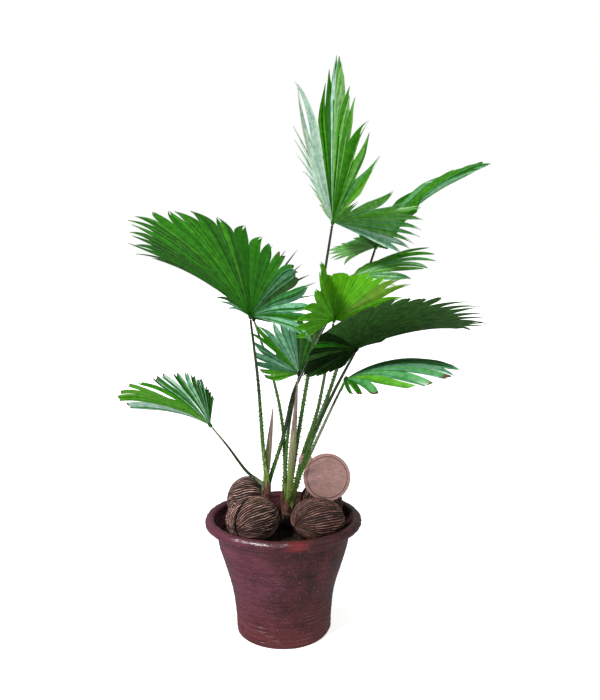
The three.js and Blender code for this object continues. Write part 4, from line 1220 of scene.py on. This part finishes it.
def soil():
    """Crumbly soil that fills the pot, with lumps and bits of bark on top."""
    draw = np.random.default_rng(SOIL_SEED)
    wall = [[r - POT_WALL - GAP, z] for r, z in POT_BODY if POT_FLOOR + 5 < z < SOIL_TOP]
    side = [[2, POT_FLOOR + GAP], [POT_FOOT_RADIUS - 5, POT_FLOOR + GAP], *wall]
    edge = inside_radius(SOIL_TOP) - 2 * GAP
    top_r = np.linspace(edge, 1, SOIL_RINGS)
    top = np.column_stack([top_r, SOIL_TOP + SOIL_CROWN * (1 - top_r / edge)])
    rings = turned(np.vstack([side, top]), SOIL_COLUMNS)
    crumble = sum(height * ripple(rings, size, seed) for height, size, seed in SOIL_LUMPS)
    flat_at_edge = np.clip((edge - np.linalg.norm(rings[..., :2], axis=-1)) / SMOOTH_EDGE, 0, 1)
    rings[len(side):, :, 2] += (crumble * flat_at_edge)[len(side):] - SET_IN["soil"]
    body = Body()
    body.add_tube(rings, 0)
    for _ in range(CRUMBS):
        reach = edge * math.sqrt(draw.uniform(0, 0.96))
        turn = draw.uniform(0, 2 * np.pi)
        size = draw.uniform(*CRUMB_SIZES)
        crumb(body, [reach * math.cos(turn), reach * math.sin(turn), SOIL_TOP + CRUMB_RISE], size, draw)
    body.make("soil_crumbs", ["soil"], [SOIL], 60)


CRUMB_CORNERS = [[1, 0, 0], [-1, 0, 0], [0, 1, 0], [0, -1, 0], [0, 0, 1], [0, 0, -1]]
CRUMB_FACES = [[0, 2, 4], [2, 1, 4], [1, 3, 4], [3, 0, 4], [2, 0, 5], [1, 2, 5], [3, 1, 5], [0, 3, 5]]


def crumb(body, centre, size, draw):
    """A small uneven lump."""
    corners = unit(draw.normal(size=(6, 3)) * 0.25 + CRUMB_CORNERS)
    corners = np.array(centre) + corners * size * draw.uniform(0.6, 1.2, (6, 1))
    body.add(corners, CRUMB_FACES, 0)


HUSK_STRANDS = 54
HUSK_ROWS = 110
HUSK_COLUMNS = 432
STRAND_HEIGHT = 1.8
STRAND_SHARES = (0.72, 1.05)  # of that height, from one strand to the next
STRAND_PACES = (4, 10)  # how fast their height comes and goes between the poles
GROOVE_LEVEL = 0.7  # strands stand out from this share of their height, and grooves lie below it
STRAND_POWER = 1.4  # the higher, the narrower are the strands and the wider the grooves
OPEN_FRUIT = "nut_front_left"
POLE_HOLE = 0.012  # radians about each pole that one flat face closes


def nut(name, seed):
    """A dried fruit in its fibrous husk: long strands that wind a little from pole to pole."""
    facts = NUTS[name]
    draw = np.random.default_rng(seed)
    axis = unit(facts["pole"])
    first = unit(np.cross(axis, [0.2, 0.3, 1]))
    second = np.cross(axis, first)
    level = np.linspace(POLE_HOLE, np.pi - POLE_HOLE, HUSK_ROWS)[:, None]
    turn = full_turn(HUSK_COLUMNS)[None, :]
    wound = turn + facts["twist"] * level
    aim = (axis * np.cos(level)[..., None] + np.sin(level)[..., None]
           * (first * np.cos(wound)[..., None] + second * np.sin(wound)[..., None]))
    wave = 0.04 * ripple(aim, 0.6, seed) + 0.012 * ripple(aim, 0.16, seed + 1)
    strands = (turn + wave) * HUSK_STRANDS / (2 * np.pi)
    which = np.floor(strands).astype(int) % HUSK_STRANDS
    height = draw.uniform(*STRAND_SHARES, HUSK_STRANDS)[which]
    pace = draw.uniform(*STRAND_PACES, HUSK_STRANDS)[which]
    start = draw.uniform(0, 2 * np.pi, HUSK_STRANDS)[which]
    broken = 0.9 + 0.13 * np.sin(level * pace + start)
    crest = np.abs(np.sin(np.pi * strands)) ** STRAND_POWER
    relief = np.clip(crest * height * broken + 0.05 * ripple(aim, 0.05, seed + 2), 0, 1.1)
    depth = STRAND_HEIGHT * (relief - GROOVE_LEVEL) * np.sin(level) ** 0.5
    if name == OPEN_FRUIT:
        depth, relief = cleft(aim, depth, relief, seed)
    half = np.array(facts["half"], float)
    points = aim * half + unit(aim / half) * (depth - SET_IN["husk"])[..., None]
    body = Body()
    body.add_tube(points @ about_z(facts["turn"]).T + facts["at"], 0)
    body.make(f"husk_{name}", [name], [HUSK[name]], 60, np.clip(relief, 0, 1).ravel())


CLEFT_SIDE = [-0.675, 0.626, -0.054]  # the side of the fruit that the seam cuts off
CLEFT_WIDTH = 0.04
CLEFT_DEPTH = 5
BARE_DEPTH = 1.2  # how far the bare inner husk lies under the strands


def cleft(aim, depth, relief, seed):
    """The seam where the husk has opened: a deep groove, and bare inner husk at the fruit's end."""
    beyond = aim @ unit(CLEFT_SIDE) + 0.02 * ripple(aim, 0.4, seed + 5)
    groove = np.exp(-(beyond / CLEFT_WIDTH) ** 2)
    bare = np.clip((beyond - 0.3 + 0.1 * ripple(aim, 0.2, seed + 7)) / 0.12, 0, 1)
    grain = 0.6 + 0.35 * ripple(aim, 0.05, seed + 6)
    depth = depth - 0.8 * np.clip(beyond / 0.05, 0, 1)
    depth = depth * (1 - bare) + bare * (0.9 * (grain - GROOVE_LEVEL) - BARE_DEPTH) - CLEFT_DEPTH * groove
    relief = relief * (1 - bare) + bare * np.clip(grain, 0, 1)
    # The seam's groove goes near black as well: painted shade.
    return depth, relief * (1 - 0.9 * groove)


def tag_point(points):
    """Moves points from the tag's own plane (face towards +Z) to where it hangs."""
    lean = math.radians(90 - TAG["lean"])
    tip = np.array([[1, 0, 0], [0, math.cos(lean), -math.sin(lean)], [0, math.sin(lean), math.cos(lean)]])
    return points @ (about_z(TAG["turn"]) @ tip).T + np.array(TAG["at"])


TAG_COLUMNS = 144
LOBE_COLUMNS = 64
TAG_ROUNDING = 0.9
EYE_ROUNDING = 0.7
BURNT_RING = 0.86  # the burnt ring's radius, as a share of the tag's
BURNT_DEPTH = 0.5
BURNT_HALF, BURNT_FLOOR = 0.55, 0.3  # half the line's width in the face and at its bottom
INNER_RINGS = (0.66, 0.33)  # rings of points within the burnt one, as shares of its radius
TAG_CENTRE = 0.5  # the radius of the flat that closes each face
PLAIN_WOOD, BURNT_WOOD = range(2)


def tag():
    """A round wooden tag with a burnt ring on its face and an eyed lobe on its shoulder."""
    half = TAG["thickness"] / 2
    ring = TAG["radius"] * BURNT_RING

    def rounded_edge(radius):
        """The outline of an outer edge at a radius, from the back to the face."""
        return np.vstack([arc(radius - TAG_ROUNDING, side * (half - TAG_ROUNDING), TAG_ROUNDING, start,
                              start + 90, 5) for side, start in ((-1, -90), (1, 0))])

    back_and_edge = np.vstack([[[TAG_CENTRE, -half], [ring, -half]], rounded_edge(TAG["radius"])])
    front = [[ring + BURNT_HALF, half], [ring + BURNT_FLOOR, half - BURNT_DEPTH],
             [ring - BURNT_FLOOR, half - BURNT_DEPTH], [ring - BURNT_HALF, half],
             *([ring * share, half] for share in INNER_RINGS), [TAG_CENTRE, half]]
    profile = np.vstack([back_and_edge, front])
    groove = len(back_and_edge)
    body = Body()
    body.add_tube(tag_point(turned(profile, TAG_COLUMNS)),
                  lambda r: BURNT_WOOD if groove <= r < groove + 3 else PLAIN_WOOD, [PLAIN_WOOD, PLAIN_WOOD])
    collar = np.vstack([rounded_edge(TAG["lobe_radius"])] + [
        arc(TAG["eye_radius"] + EYE_ROUNDING, side * (half - EYE_ROUNDING), EYE_ROUNDING, start,
            start + 90, 4) for side, start in ((1, 90), (-1, 180))])
    lobe = TAG["lobe_out"] * compass(TAG["lobe_heading"])
    total = len(collar) * LOBE_COLUMNS
    closed = [[corner % total for corner in corners]
              for corners in grid_faces(len(collar) + 1, LOBE_COLUMNS)]
    body.add(tag_point(turned(collar, LOBE_COLUMNS) + lobe), closed, PLAIN_WOOD)
    body.make("wooden_tag", ["tag"], [WOOD, BURNT], 35)


# ------------------------------------------------------------------ studio

FLOOR_REACH = 40.0  # metres


def floor():
    """A wide pale floor."""
    mesh = bpy.data.meshes.new("studio_floor")
    corners = [(x * FLOOR_REACH, y * FLOOR_REACH, 0) for x, y in ((-1, -1), (1, -1), (1, 1), (-1, 1))]
    mesh.from_pydata(corners, [], [(0, 1, 2, 3)])
    mesh.materials.append(floor_material())
    made = bpy.data.objects.new("studio_floor", mesh)
    made.visible_glossy = False  # keeps its white out of the glaze and the leaves' gloss
    bpy.context.scene.collection.objects.link(made)


def light(name, kind, at, aim, power, **settings):
    """A lamp that points from one place to another, in metres."""
    lamp = bpy.data.lights.new(name, kind)
    lamp.energy = power
    for setting, value in settings.items():
        setattr(lamp, setting, value)
    made = bpy.data.objects.new(name, lamp)
    made.location = at
    made.rotation_euler = (Vector(aim) - Vector(at)).to_track_quat("-Z", "Y").to_euler()
    bpy.context.scene.collection.objects.link(made)


ROOM_LIGHT = 0.4
ROOM_SHINE = 0.15  # what glossy surfaces mirror of the room, which is darker than its light


def studio():
    """A broad soft key from the upper left, a low fill from the right and white surroundings."""
    light("key", "SUN", (-1.2, -1.2, 1.9), (0, 0, 0.2), 2.9, angle=math.radians(16))
    light("fill", "AREA", (1.7, -1.0, 1.0), (0.03, 0, 0.4), 3.5, size=1.6)
    world = bpy.data.worlds.new("white_room")
    bpy.context.scene.world = world
    world.use_nodes = True
    tree = world.node_tree
    tree.nodes.clear()
    seen = node(tree, "ShaderNodeLightPath")
    lit, shone, plain = (node(tree, "ShaderNodeBackground", {"Color": (1, 1, 1, 1), "Strength": strength})
                         for strength in (ROOM_LIGHT, ROOM_SHINE, 1.0))
    room = node(tree, "ShaderNodeMixShader", {}, {0: seen.outputs["Is Glossy Ray"], 1: lit.outputs[0],
                                                  2: shone.outputs[0]})
    mix = node(tree, "ShaderNodeMixShader", {}, {0: seen.outputs["Is Camera Ray"], 1: room.outputs[0],
                                                 2: plain.outputs[0]})
    node(tree, "ShaderNodeOutputWorld", {}, {"Surface": mix.outputs[0]})
    bpy.context.scene.view_settings.view_transform = "Standard"


CAMERA_AT = (0.0275, -1.10, 0.584)
CAMERA_DIP = 5.96  # degrees below level
FOCAL_PIXELS = 681
FRAME_HEIGHT = 700  # pixels


def camera():
    """The camera that frames the whole plant, a little above the middle and looking slightly down."""
    lens = bpy.data.cameras.new("camera")
    lens.sensor_width = 36
    lens.lens = FOCAL_PIXELS / FRAME_HEIGHT * lens.sensor_width
    made = bpy.data.objects.new("camera", lens)
    made.location = CAMERA_AT
    made.rotation_euler = (math.radians(90 - CAMERA_DIP), 0, 0)
    bpy.context.scene.collection.objects.link(made)
    bpy.context.scene.camera = made


pot()
soil()
for count, nut_name in enumerate(NUTS):
    nut(nut_name, 100 + 10 * count)
tag()
stem("stem_left", LEFT_STEM, 1)
stem("stem_centre", CENTRE_STEM, 2)
for spear_name in SPEARS:
    spear(spear_name)
for stalk_name in STALKS:
    stalk(stalk_name)
for frond_name in FRONDS:
    frond(frond_name)
floor()
studio()
camera()
